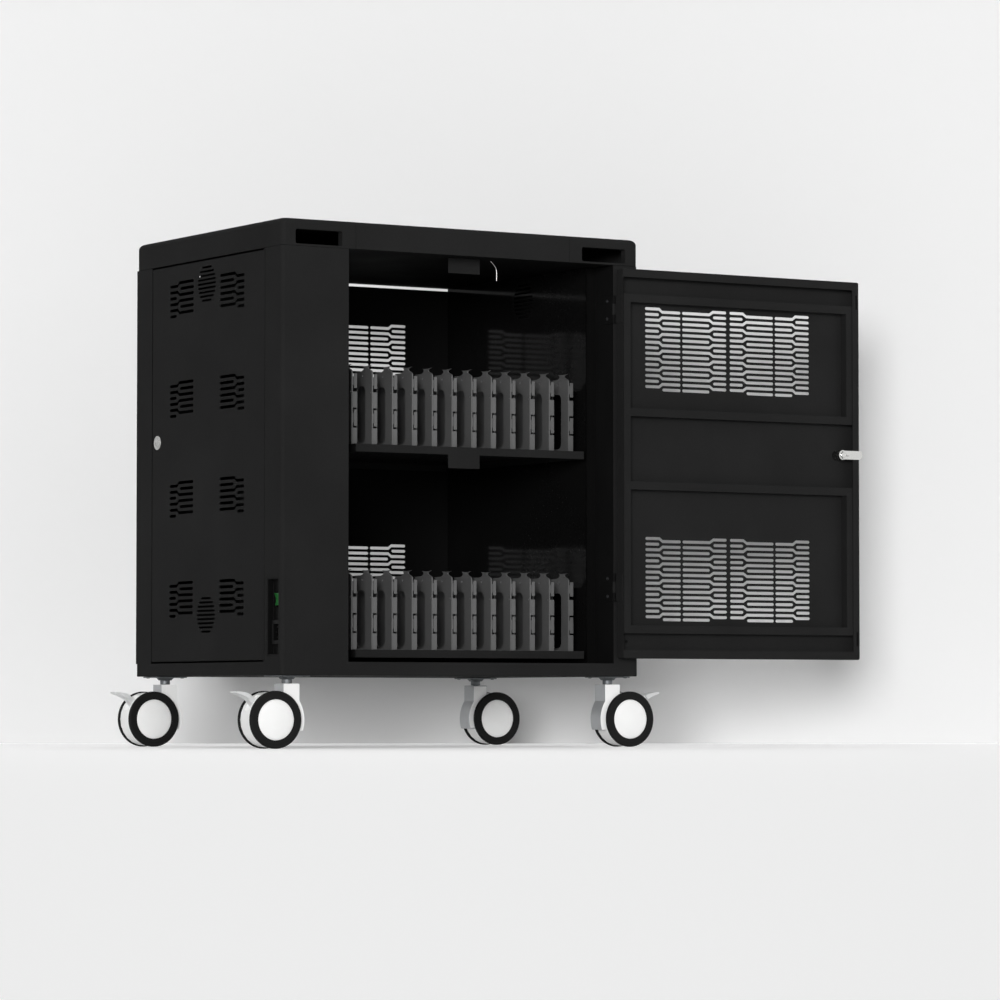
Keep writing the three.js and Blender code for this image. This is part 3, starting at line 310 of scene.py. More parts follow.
def rocker_lens():
    # Green polycarbonate rocker lens with a lamp behind it: clear deep green that glows a little,
    # with moulding clouds about 6 mm across.
    material, tree, shader = surface("green_polycarbonate")
    colour = colours().rocker
    coords = add(tree, "ShaderNodeTexCoord").outputs["Object"]
    cloud = add(tree, "ShaderNodeTexNoise", {"Vector": coords, "Scale": 1000 / 6.25, "Detail": 2.0})
    ramp = add(tree, "ShaderNodeValToRGB", {0: cloud})
    for stop, factor in zip(ramp.color_ramp.elements, (0.7, 1.3)):
        stop.color = tint(colour, factor)
    wire(tree, shader, {
        "Base Color": ramp, "Roughness": 0.22, "Specular IOR Level": 0.1, "Emission Color": colour,
        "Emission Strength": 0.1})
    return material


def link(name, data):
    made = bpy.data.objects.new(name, data)
    bpy.context.scene.collection.objects.link(made)
    return made


def as_object(name, bm):
    """A bmesh as a linked object."""
    mesh = bpy.data.meshes.new(name)
    bm.to_mesh(mesh)
    bm.free()
    return link(name, mesh)


def as_bmesh(made):
    """An object's shape as a bmesh, with the object taken away."""
    bm = bmesh.new()
    bm.from_mesh(made.data)
    bpy.data.objects.remove(made)
    return bm


def in_metres(bm):
    """A bmesh drawn in cart millimetres, moved into the shared frame."""
    bmesh.ops.transform(bm, matrix=TO_ROW, verts=bm.verts)
    return bm


def rounded(mesh, angle):
    """Smooth shading that keeps edges sharper than the angle, in degrees."""
    mesh.shade_smooth()
    mesh.set_sharp_from_angle(angle=math.radians(angle))


def settle(made):
    """Makes the object's evaluated shape its own plain mesh, with no modifier left."""
    depsgraph = bpy.context.evaluated_depsgraph_get()
    mesh = bpy.data.meshes.new_from_object(made.evaluated_get(depsgraph), depsgraph=depsgraph)
    mesh.name = made.name
    made.modifiers.clear()
    made.data = mesh


def place(made, material, body, nodes=()):
    """Gives an object its finish, its body and the CAD nodes that it stands for."""
    made.data.materials.clear()
    made.data.materials.append(material)
    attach(made, body)
    if nodes:
        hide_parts(*nodes)


def finish_piece(name, bm, material, body, nodes=(), angle=38):
    """A bmesh in metres as a finished piece."""
    made = as_object(name, bm)
    rounded(made.data, angle)
    made.modifiers.new("even_faces", "WEIGHTED_NORMAL").keep_sharp = True
    settle(made)
    place(made, material, body, nodes)


def softened(node, radius_mm, segments=3, seam=None):
    """A merged copy of a CAD node's mesh, with its sharp edges rounded, in metres. Edges at a
    seam's height stay sharp and move onto it, so that no light shows through."""
    merge, near_seam, sharp_from = 2e-5, 4e-4, math.radians(32)
    bm = bmesh.new()
    bm.from_mesh(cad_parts[node].data)
    bmesh.ops.remove_doubles(bm, verts=bm.verts, dist=merge)
    bmesh.ops.dissolve_limit(bm, angle_limit=FLAT, verts=bm.verts, edges=bm.edges)
    meeting = {v for v in bm.verts if seam and abs(v.co.z - seam) < near_seam}
    for vert in meeting:
        vert.co.z = seam
    sharp = [e for e in bm.edges if e.is_manifold and e.calc_face_angle() > sharp_from
             and not meeting.issuperset(e.verts)]
    bmesh.ops.bevel(
        bm, geom=sharp, offset=radius_mm / 1000, segments=segments, profile=0.5, affect="EDGES",
        clamp_overlap=True)
    return bm


def dress(node, radius_mm, material, body, segments=3, seam=None, name=None):
    """A CAD node's own shape with softer edges, as the piece that stands for it."""
    bm = softened(node, radius_mm, segments, seam)
    finish_piece("dressed_" + (name or node), bm, material, body, (node,))


def split(bm, chosen):
    """Takes the faces that pass a test out of a bmesh and gives them as another."""
    taken = bm.copy()
    for part, kept in ((bm, False), (taken, True)):
        doomed = [face for face in part.faces if chosen(face) != kept]
        bmesh.ops.delete(part, geom=doomed, context="FACES")
    return taken


def with_painted_shade(node, bm, inside, body="cabinet"):
    """A piece in metres whose faces turned the given ways get the darker inner coat: painted shade
    on faces that lie in shadow.
    """
    bm.normal_update()
    shaded_faces = split(bm, lambda face: any(face.normal.dot(way) > 0.9 for way in inside))
    finish_piece("dressed_" + node, bm, powder_coat(), body, (node,))
    finish_piece("dressed_%s_lining" % node, shaded_faces, inner_coat(), body)


def joined(*shapes):
    """Several bmeshes as one."""
    whole = shapes[0]
    for other in shapes[1:]:
        mesh = bpy.data.meshes.new("part")
        other.to_mesh(mesh)
        other.free()
        whole.from_mesh(mesh)
        bpy.data.meshes.remove(mesh)
    return whole


def outward(bm):
    bmesh.ops.remove_doubles(bm, verts=bm.verts, dist=1e-4)
    bmesh.ops.recalc_face_normals(bm, faces=bm.faces)


def axes(origin, x, y, z):
    """The matrix that takes a shape's own x, y and z to these directions at an origin."""
    matrix = Matrix((x, y, z)).transposed().to_4x4()
    matrix.translation = origin
    return matrix


def arc(a, b, radius, start, sweep, steps):
    """Points on an arc about (a, b), from a start angle over a sweep, in degrees."""
    turns = [math.radians(start + sweep * i / steps) for i in range(steps + 1)]
    return [(a + radius * math.cos(turn), b + radius * math.sin(turn)) for turn in turns]


def circle(a, b, radius, sides=24):
    return arc(a, b, radius, 0, 360, sides)[:-1]


def round_rect(a0, a1, b0, b1, radius, steps=6):
    """Points of a rectangle with round corners, counter-clockwise."""
    points = []
    for a, b, start in (
            (a1 - radius, b0 + radius, -90), (a1 - radius, b1 - radius, 0),
            (a0 + radius, b1 - radius, 90), (a0 + radius, b0 + radius, 180)):
        points += arc(a, b, radius, start, 90, steps)
    return points


def slot_outline(path, width, steps=5):
    """The outline of a slot of that width along a bent centre line, with round ends."""
    half = width / 2
    points = [Vector(point) for point in path]
    ways = [(b - a).normalized() for a, b in zip(points, points[1:])]

    def cap(end, away, side):
        return [end + side * c + away * (s - half) for c, s in arc(0, 0, half, 0, 180, steps)]

    left, right = [], []
    for point, behind, ahead in zip(points[1:], ways, ways[1:]):
        along = (ahead + behind).normalized()
        reach = half / max(0.5, along.dot(ahead)) * Vector((-along.y, along.x))
        left.insert(0, point + reach)
        right.append(point - reach)
    first, last = ways[0], ways[-1]
    start = cap(points[0], -first, Vector((-first.y, first.x)))
    end = cap(points[-1], last, Vector((last.y, -last.x)))
    return [tuple(point) for point in start + right + end + left]


def add_block(bm, low, high, radius=0.6, segments=2):
    """A block with rounded edges between two corners."""
    size = [b - a for a, b in zip(low, high)]
    middle = [(a + b) / 2 for a, b in zip(low, high)]
    matrix = Matrix.Translation(middle) @ Matrix.Diagonal(size + [1.0])
    verts = bmesh.ops.create_cube(bm, size=1.0, matrix=matrix)["verts"]
    edges = {edge for vert in verts for edge in vert.link_edges}
    bmesh.ops.bevel(
        bm, geom=list(edges), offset=radius, segments=segments, profile=0.5, affect="EDGES",
        clamp_overlap=True)


def add_loft(bm, rings, capped=False, closed=False):
    """Walls between closed rings of points that follow each other."""
    loops = [[bm.verts.new(point) for point in ring] for ring in rings]
    count = len(loops[0])
    for a, b in zip(loops, loops[1:] + loops[:1] if closed else loops[1:]):
        for i in range(count):
            j = (i + 1) % count
            bm.faces.new((a[i], a[j], b[j], b[i]))
    if capped:
        bm.faces.new(loops[0][::-1])
        bm.faces.new(loops[-1])


def add_lathe(bm, profile, centre, axis, segments=72):
    """A profile of (radius, distance along the axis) turned about the axis. It starts and ends on
    the axis, or closes."""
    axis = Vector(axis).normalized()
    side = axis.orthogonal().normalized()
    other = axis.cross(side)
    rings = []
    for radius, along in profile:
        base = Vector(centre) + axis * along
        spots = circle(0, 0, radius, segments) if radius else [(0, 0)]
        rings.append([bm.verts.new(base + side * a + other * b) for a, b in spots])
    for a, b in zip(rings, rings[1:]):
        for i in range(segments):
            j = (i + 1) % segments
            corners = (a[i % len(a)], a[j % len(a)], b[j % len(b)], b[i % len(b)])
            unique = list(dict.fromkeys(corners))
            if len(unique) > 2:
                bm.faces.new(unique)


def flat_plate(loops, low, high, upright):
    """A plate from an outline and its holes in (a, b). Upright maps (a, b, depth) to a point."""
    bm = bmesh.new()
    edges = []
    for loop in loops:
        verts = [bm.verts.new(upright(a, b, low)) for a, b in loop]
        edges += [bm.edges.new(pair) for pair in zip(verts, verts[1:] + verts[:1])]
    bmesh.ops.triangle_fill(bm, use_beauty=True, edges=edges)
    bmesh.ops.dissolve_limit(bm, angle_limit=FLAT, verts=bm.verts, edges=bm.edges)
    grown = bmesh.ops.extrude_face_region(bm, geom=bm.faces[:], use_keep_orig=True)["geom"]
    bmesh.ops.translate(
        bm, vec=Vector(upright(0, 0, high)) - Vector(upright(0, 0, low)),
        verts=[item for item in grown if isinstance(item, bmesh.types.BMVert)])
    return bm


def folded_pan(box, steps, upright, corner):
    """The folded rim of a pan round a rectangle (a0, a1, b0, b1), facing out. Each step is a ring
    of insets from the left, right, bottom and top, and a depth."""
    a0, a1, b0, b1 = box
    bm = bmesh.new()
    rings = []
    for left, right, bottom, top, depth in steps:
        outline = round_rect(a0 + left, a1 - right, b0 + bottom, b1 - top, corner, 3)
        rings.append([upright(a, b, depth) for a, b in outline])
    add_loft(bm, rings)
    outward(bm)
    highest = max(bm.faces, key=lambda face: face.calc_center_median().z)
    if highest.normal.z < 0:
        bmesh.ops.reverse_faces(bm, faces=bm.faces)
    return bm


def loops_object(name, loops):
    """Closed outlines in millimetres as an object of edges in metres, drawn in the XY plane."""
    verts, edges = [], []
    for loop in loops:
        start = len(verts)
        verts += [(a / 1000, b / 1000, 0) for a, b in loop]
        edges += [(start + i, start + (i + 1) % len(loop)) for i in range(len(loop))]
    mesh = bpy.data.meshes.new(name)
    mesh.from_pydata(verts, edges, [])
    return link(name, mesh)


def new_tree(name, inputs):
    """A geometry tree with named inputs besides its geometry, and the sockets that give them."""
    tree = bpy.data.node_groups.new(name, "GeometryNodeTree")
    for label, kind in [("Geometry", "Geometry")] + inputs:
        tree.interface.new_socket(label, in_out="INPUT", socket_type="NodeSocket" + kind)
    tree.interface.new_socket("Geometry", in_out="OUTPUT", socket_type="NodeSocketGeometry")
    return tree, tree.nodes.new("NodeGroupInput").outputs


def end_tree(tree, geometry, material):
    """Ends a tree in Realize Instances and Set Material."""
    real = add(tree, "GeometryNodeRealizeInstances", {"Geometry": geometry})
    painted = add(tree, "GeometryNodeSetMaterial", {"Geometry": real, "Material": material})
    add(tree, "NodeGroupOutput", {0: painted})
    return tree


def vented_sheet_tree():
    """Repeats the object's outlines in rows, mirrors them, adds other holes and fills a sheet."""
    name = "vented_sheet"
    if name in bpy.data.node_groups:
        return bpy.data.node_groups[name]
    tree, given = new_tree(name, [
        ("Width", "Float"), ("Height", "Float"), ("Middle X", "Float"), ("Middle Y", "Float"),
        ("Thickness", "Float"), ("Rows", "Int"), ("Row Step", "Float"), ("Levels", "Int"),
        ("Level Step", "Float"), ("Other Holes", "Object"), ("Material", "Material")])
    motif = add(tree, "GeometryNodeMeshToCurve", {"Mesh": given["Geometry"]})
    drop = add(tree, "ShaderNodeCombineXYZ", {"Y": given["Row Step"]})
    rows = add(tree, "GeometryNodeMeshLine", {"Count": given["Rows"], "Offset": drop})
    group = add(tree, "GeometryNodeInstanceOnPoints", {"Points": rows, "Instance": motif})
    real = add(tree, "GeometryNodeRealizeInstances", {"Geometry": group})
    mirror = add(tree, "GeometryNodeTransform", {"Geometry": real, "Scale": (-1, 1, 1)})
    pair = add(tree, "GeometryNodeJoinGeometry", {0: [real, mirror]})
    rise = add(tree, "ShaderNodeCombineXYZ", {"Y": given["Level Step"]})
    levels = add(tree, "GeometryNodeMeshLine", {"Count": given["Levels"], "Offset": rise})
    blocks = add(tree, "GeometryNodeInstanceOnPoints", {"Points": levels, "Instance": pair})
    blocks = add(tree, "GeometryNodeRealizeInstances", {"Geometry": blocks})
    others = add(tree, "GeometryNodeObjectInfo", {"Object": given["Other Holes"]})
    others = add(tree, "GeometryNodeMeshToCurve", {"Mesh": others.outputs["Geometry"]})
    edge = add(tree, "GeometryNodeCurvePrimitiveQuadrilateral", {
        "Width": given["Width"], "Height": given["Height"]})
    middle = add(tree, "ShaderNodeCombineXYZ", {"X": given["Middle X"], "Y": given["Middle Y"]})
    edge = add(tree, "GeometryNodeTransform", {"Geometry": edge, "Translation": middle})
    loops = add(tree, "GeometryNodeJoinGeometry", {0: [edge, blocks, others]})
    fill = add(tree, "GeometryNodeFillCurve", {"Curve": loops})
    raised = add(tree, "ShaderNodeCombineXYZ", {"Z": given["Thickness"]})
    top = add(tree, "GeometryNodeExtrudeMesh", {
        "Mesh": fill, "Offset": raised, "Individual": False})
    under = add(tree, "GeometryNodeFlipFaces", {"Mesh": fill})
    shell = add(tree, "GeometryNodeJoinGeometry", {0: [top, under]})
    shell = add(tree, "GeometryNodeMergeByDistance", {"Geometry": shell, "Distance": 1e-5})
    return end_tree(tree, shell, given["Material"])


def row_tree():
    """Repeats the object's own mesh along a line."""
    name = "row_of_pieces"
    if name in bpy.data.node_groups:
        return bpy.data.node_groups[name]
    tree, given = new_tree(name, [("Count", "Int"), ("Step", "Float"), ("Material", "Material")])
    step = add(tree, "ShaderNodeCombineXYZ", {"X": given["Step"]})
    line = add(tree, "GeometryNodeMeshLine", {"Count": given["Count"], "Offset": step})
    row = add(tree, "GeometryNodeInstanceOnPoints", {
        "Points": line, "Instance": given["Geometry"]})
    return end_tree(tree, row, given["Material"])


def fastener_tree():
    """Sets a fastener on each point of the object, with its head along the point's facing."""
    tree, given = new_tree("fasteners", [("Fastener", "Object"), ("Material", "Material")])
    facing = add(
        tree, "GeometryNodeInputNamedAttribute", {"Name": "facing"}, data_type="FLOAT_VECTOR")
    turn = add(tree, "FunctionNodeAlignRotationToVector", {"Vector": facing}, axis="Z")
    head = add(tree, "GeometryNodeObjectInfo", {"Object": given["Fastener"]})
    points = add(tree, "GeometryNodeMeshToPoints", {"Mesh": given["Geometry"]})
    heads = add(tree, "GeometryNodeInstanceOnPoints", {
        "Points": points, "Instance": head.outputs["Geometry"], "Rotation": turn})
    return end_tree(tree, heads, given["Material"])


def run_tree(made, tree, values):
    """Puts a tree on an object with its inputs set, and turns the result into a plain mesh."""
    modifier = made.modifiers.new(tree.name, "NODES")
    modifier.node_group = tree
    for item in tree.interface.items_tree:
        if item.in_out == "INPUT" and item.name in values:
            modifier[item.identifier] = values[item.name]
    settle(made)


def sheet(name, edges, matrix, material, loops=(), holes=(), thickness=2.0, rows=1, step=1.0,
          levels=1, level_step=1.0):
    """A vented sheet, placed by a matrix from its own plane to cart millimetres. Edges are (x0, x1,
    y0, y1). The loops repeat in rows and levels, either side of the plane's Y axis."""
    other = loops_object(name + "_holes", holes)
    made = loops_object(name, loops)
    x0, x1, y0, y1 = [value / 1000 for value in edges]
    run_tree(made, vented_sheet_tree(), {
        "Width": x1 - x0, "Height": y1 - y0, "Middle X": (x0 + x1) / 2, "Middle Y": (y0 + y1) / 2,
        "Thickness": thickness / 1000, "Rows": rows, "Row Step": -step / 1000, "Levels": levels,
        "Level Step": level_step / 1000, "Other Holes": other, "Material": material})
    bpy.data.objects.remove(other)
    bm = as_bmesh(made)
    bmesh.ops.scale(bm, vec=(1000, 1000, 1000), verts=bm.verts)
    bmesh.ops.transform(bm, matrix=matrix, verts=bm.verts)
    return bm


def flared_period(pitch, end, bend, inner, far, short=0.0):
    """Centre lines of one three-row period of a vent whose rows shift by half a pitch from its end
    to its far side. The rows that stop or start at the shift do so a little short of it."""
    half = pitch / 2
    return [
        [(end, 0), (bend, 0), (inner, -half), (far, -half)],
        [(end, -pitch), (bend - short, -pitch)],
        [(end, -2 * pitch), (bend, -2 * pitch), (inner, -3 * half), (far, -3 * half)],
        [(inner + short, -5 * half), (far, -5 * half)],
    ]


def vent_loops(paths, right, up, sizes):
    """Outlines of the slots along some paths, moved right and up."""
    width = sizes.vent_slot * 1000
    return [slot_outline([(x + right, y + up) for x, y in path], width) for path in paths]


def fan_holes(levels):
    """Outlines of the round fan vents: level slots that fill a circle."""
    loops = []
    for level in levels:
        for row in range(-4, 5):
            rise = row * FAN_PITCH
            half = math.sqrt(FAN_RADIUS ** 2 - rise ** 2)
            loops.append(slot_outline([(-half, level + rise), (half, level + rise)], FAN_SLOT, 3))
    return loops


def facing_sheet(name, sizes, middle, y, edges, material, **more):
    """A sheet that faces front and rear, with two levels of large vents about its middle."""
    pitch = sizes.vent_pitch * 1000
    top = VENT_SEVENTH + 7 * pitch - VENT_LEVEL_STEP
    paths = flared_period(pitch, 0.0, 29.9, 37.5, 97.8)
    paths += flared_period(pitch, 178.5, 147.6, 141.0, 100.8)
    x0, x1, z0, z1 = edges
    return sheet(
        name, (x0 - middle, x1 - middle, z0, z1), axes((middle, y, 0), RIGHT, UP, -BACK), material,
        vent_loops(paths, VENT_HALF_BAR, top, sizes), rows=5, step=3 * pitch, levels=2,
        level_step=VENT_LEVEL_STEP, **more)


def side_sheet(name, x, edges, material, holes, **more):
    """A sheet that faces left and right. Its holes and vents are drawn about its middle."""
    y0, y1, z0, z1 = edges
    return sheet(
        name, (y0 - SIDE_MIDDLE, y1 - SIDE_MIDDLE, z0, z1),
        axes((x, SIDE_MIDDLE, 0), BACK, UP, RIGHT), material, holes=holes, **more)


def caster_spot(name):
    """Where a caster's swivel axis stands, as x and y."""
    return (
        CASTER_SET_X if "left" in name else WIDTH - CASTER_SET_X,
        CASTER_SET_Y if "front" in name else DEPTH - CASTER_SET_Y)


class CART_OT_stage(bpy.types.Operator):
    """Sets the pale floor, the studio light and the camera"""
    bl_idname = "cart.stage"
    bl_label = "Stage"

    def execute(self, context):
        scene = context.scene
        scene.view_settings.view_transform = "Standard"
        colour = tuple(scene.cart_colours.backdrop)
        turn = VIEW.to_track_quat("-Z", "Y")

        tree, shader = self.plane("floor", FLOOR_HALF, Matrix.Identity(4), "#f0f0f0")
        glow = add(
            tree, "ShaderNodeMath", {0: self.seen(tree), 1: FLOOR_GLOW}, operation="MULTIPLY")
        wire(tree, shader, {"Emission Color": colour, "Emission Strength": glow})
        # The wall is clear from behind, so that other views see the cart through it
        behind = Matrix.Translation(TO_ROW.translation + WALL_DISTANCE * VIEW)
        tree, shader = self.plane("wall", WALL_HALF, behind @ turn.to_matrix().to_4x4(), "#ececec")
        facing = add(tree, "ShaderNodeNewGeometry").outputs["Backfacing"]
        clear = add(tree, "ShaderNodeMath", {0: 1.0, 1: facing}, operation="SUBTRACT")
        wire(tree, shader, {"Alpha": clear})

        world = scene.world or bpy.data.worlds.new("studio")
        scene.world = world
        world.use_nodes = True
        tree = world.node_tree
        tree.nodes.clear()
        fill = add(tree, "ShaderNodeBackground", {"Color": FILL, "Strength": 1.0})
        shown = add(tree, "ShaderNodeBackground", {"Color": colour, "Strength": 1.0})
        mix = add(tree, "ShaderNodeMixShader", {0: self.seen(tree), 1: fill, 2: shown})
        add(tree, "ShaderNodeOutputWorld", {"Surface": mix})

        for name, toward, energy, spread in SUNS:
            lamp = bpy.data.lights.new(name, "SUN")
            lamp.energy = energy
            lamp.angle = math.radians(spread)
            link(name, lamp).rotation_euler = Vector(toward).to_track_quat("Z", "Y").to_euler()

        lamp = bpy.data.lights.new("backdrop_lamp", "AREA")
        lamp.energy = BACKDROP_LAMP_POWER
        lamp.shape = "RECTANGLE"
        lamp.size, lamp.size_y = BACKDROP_LAMP_SIZE
        backlight = link("backdrop_lamp", lamp)
        backlight.location = TO_ROW @ BACKDROP_LAMP_SPOT
        backlight.rotation_euler = turn.to_euler()
        backlight.visible_camera = False
        backlight.visible_glossy = False

        lens = bpy.data.cameras.new("camera")
        lens.sensor_width = SENSOR
        lens.lens = LENS
        lens.clip_end = 300
        camera = link("camera", lens)
        camera.location = TO_ROW @ CAMERA_SPOT
        camera.rotation_euler = [math.radians(angle) for angle in CAMERA_TURN]
        scene.camera = camera
        return {"FINISHED"}

    def plane(self, name, half, matrix, code):
        """A square stage plane in flat matt paint, with its material's tree and shader."""
        bm = bmesh.new()
        bmesh.ops.create_grid(bm, x_segments=2, y_segments=2, size=half, matrix=matrix)
        made = as_object(name, bm)
        material, tree, shader = surface("matt_white_" + name)
        wire(tree, shader, {
            "Base Color": tuple(linear(code)), "Roughness": 1.0, "Specular IOR Level": 0.0})
        made.data.materials.append(material)
        return tree, shader

    def seen(self, tree):
        """One for camera, glossy and transmission rays, so that they meet the pale backdrop."""
        rays = add(tree, "ShaderNodeLightPath").outputs
        direct = add(tree, "ShaderNodeMath", {
            0: rays["Is Camera Ray"], 1: rays["Is Transmission Ray"]}, operation="MAXIMUM")
        return add(
            tree, "ShaderNodeMath", {0: direct, 1: rays["Is Glossy Ray"]}, operation="MAXIMUM")


class CART_OT_shell(bpy.types.Operator):
    """Builds the base pan, the cover with its grips, the columns and the plain inside plates"""
    bl_idname = "cart.shell"
    bl_label = "Cabinet shell"

    def execute(self, context):
        for node, radius in (("base_pan", 1.6), ("column_front_left", 1.0)):
            dress(node, radius, powder_coat(), "cabinet", seam=BASE_SEAM)
        # The columns' inner faces and the right column's jamb take the darker coat: painted shade.
        for node, inside in (
                ("column_front_right", (-RIGHT, BACK)), ("column_rear_left", (RIGHT, -BACK)),
                ("column_rear_right", (-RIGHT, -BACK))):
            with_painted_shade(node, softened(node, 0.9, seam=BASE_SEAM), inside)
        # Inside plates and side hinges are black paint drawn in the darker coat: painted shade.
        for node in ("ceiling_panel", "inner_wall_left", "side_hinge_lower", "side_hinge_upper"):
            dress(node, 0.5, inner_coat(), "cabinet", 2)
        tab = bmesh.new()
        add_block(
            tab, (TAB_LEFT - 0.1, 45.9, 842.2), (TAB_RIGHT + 0.1, 48.1, COVER_BOTTOM + 0.2))
        finish_piece("dressed_ceiling_tab", in_metres(tab), powder_coat(), "cabinet")
        self.cover()
        self.hook()
        return {"FINISHED"}

    def hook(self):
        """A bent wire that hangs from the ceiling and guides the charging leads."""
        path = [Vector(point) for point in (
            (459, 62, 869.2), (462.5, 62, 867), (466.5, 61, 862), (469.3, 60, 857),
            (470.5, 60, 851), (470.5, 60, 834.7))]
        rings = []
        for i, point in enumerate(path):
            along = (path[min(i + 1, len(path) - 1)] - path[max(i - 1, 0)]).normalized()
            side = along.cross(BACK).normalized()
            other = along.cross(side)
            rings.append([point + side * x + other * y for x, y in circle(0, 0, 0.9, 10)])
        bent = bmesh.new()
        add_loft(bent, rings, capped=True)
        outward(bent)
        finish_piece("dressed_cable_hook", in_metres(bent), nickel(), "cabinet")

    def ring(self, inset, z):
        """The cover's outline at one height, with the fine seams of its corner caps. Each side has
        its first corner, its two seams, the way that a groove runs, and where a point lies."""
        right, rear = WIDTH - inset, DEPTH - inset
        radius = max(COVER_EDGE - inset * 0.2, 4.0)
        sides = (
            (right - radius, inset + radius, (CAP_DEPTH, DEPTH - CAP_DEPTH), 1,
             lambda along, deep: (right - deep, along)),
            (right - radius, rear - radius, (WIDTH - CAP_LENGTH, CAP_LENGTH), -1,
             lambda along, deep: (along, rear - deep)),
            (inset + radius, rear - radius, (DEPTH - CAP_DEPTH, CAP_DEPTH), 1,
             lambda along, deep: (inset + deep, along)),
            (inset + radius, inset + radius, (CAP_LENGTH, WIDTH - CAP_LENGTH), 1,
             lambda along, deep: (along, inset + deep)),
        )
        points = []
        for quarter, (x, y, seams, way, spot) in enumerate(sides):
            points += arc(x, y, radius, 90 * quarter - 90, 90, 8)
            for seam in seams:
                points += [spot(seam + way * offset, deep) for offset, deep in CAP_GROOVE]
        return [(x, y, z) for x, y in points]

    def cover(self):
        rings = [self.ring(inset, z) for inset, z in (
            (2.0, 905), (2.0, COVER_BOTTOM), (0.4, COVER_BOTTOM), (0, COVER_BOTTOM + 0.4))]
        for across, rise in arc(0, 0, COVER_EDGE, 0, 90, 8):
            rings.append(self.ring(COVER_EDGE - across, HEIGHT - COVER_EDGE + rise))
        rings.append(self.ring(16, HEIGHT))
        bm = bmesh.new()
        add_loft(bm, rings, capped=True)
        outward(bm)
        cover = as_object("cover", bm)
        cutter = bmesh.new()
        openings = [
            round_rect(left, left + GRIP_LENGTH, GRIP_LOW, GRIP_HIGH, 5) for left in GRIP_LEFTS]
        for outer in openings:
            add_loft(cutter, [[(x, y, z) for x, z in outer] for y in (-5, 5)], capped=True)
        outward(cutter)
        grips = as_object("grips", cutter)
        cut = cover.modifiers.new("grips", "BOOLEAN")
        cut.object = grips
        cut.operation = "DIFFERENCE"
        cut.solver = "EXACT"
        settle(cover)
        bpy.data.objects.remove(grips)
        bm = as_bmesh(cover)
        wall, depth = 1.2, 14
        for left, outer in zip(GRIP_LEFTS, openings):
            inner = round_rect(
                left + wall, left + GRIP_LENGTH - wall, GRIP_LOW + wall, GRIP_HIGH - wall, 4)
            add_loft(bm, [[(x, y, z) for x, z in loop] for loop, y in (
                (outer, 0.3), (outer, depth), (inner, depth), (inner, 0.3))], closed=True)
        finish_piece(
            "dressed_top_cover", in_metres(bm), powder_coat(), "cabinet", ("top_cover",))


class CART_OT_panels(bpy.types.Operator):
    """Builds the vented rear panel, the right inner wall and the right panel"""
    bl_idname = "cart.panels"
    bl_label = "Vented panels"

    def execute(self, context):
        middle = 387
        # The rear panel's inner face gets the darker coat as painted shade; its outside keeps the
        # powder coat.
        rear = facing_sheet(
            "rear", context.scene.cart_sizes, middle, DEPTH, (62.3, 671.7, SHEET_LOW, 864),
            inner_coat())
        with_painted_shade("rear_panel", in_metres(rear), (-BACK,))

        front = 60.3
        wall = side_sheet(
            "wall", INNER_WALL_X, (front, 550.4, SHEET_LOW, SHEET_HIGH), smooth_coat(),
            fan_holes(FAN_LEVELS[1:]))
        add_block(wall, (INNER_WALL_X, front, SHEET_LOW), (692, front + 2, SHEET_HIGH), 0.4)
        finish_piece(
            "dressed_inner_wall_right", in_metres(wall), smooth_coat(), "cabinet",
            ("inner_wall_right",))

        side = side_sheet(
            "side", WIDTH - 2, (front, 491.7, SHEET_LOW, SHEET_HIGH), powder_coat(),
            fan_holes(FAN_LEVELS))
        finish_piece(
            "dressed_side_panel_right", in_metres(side), powder_coat(), "cabinet",
            ("side_panel_right",))
        return {"FINISHED"}


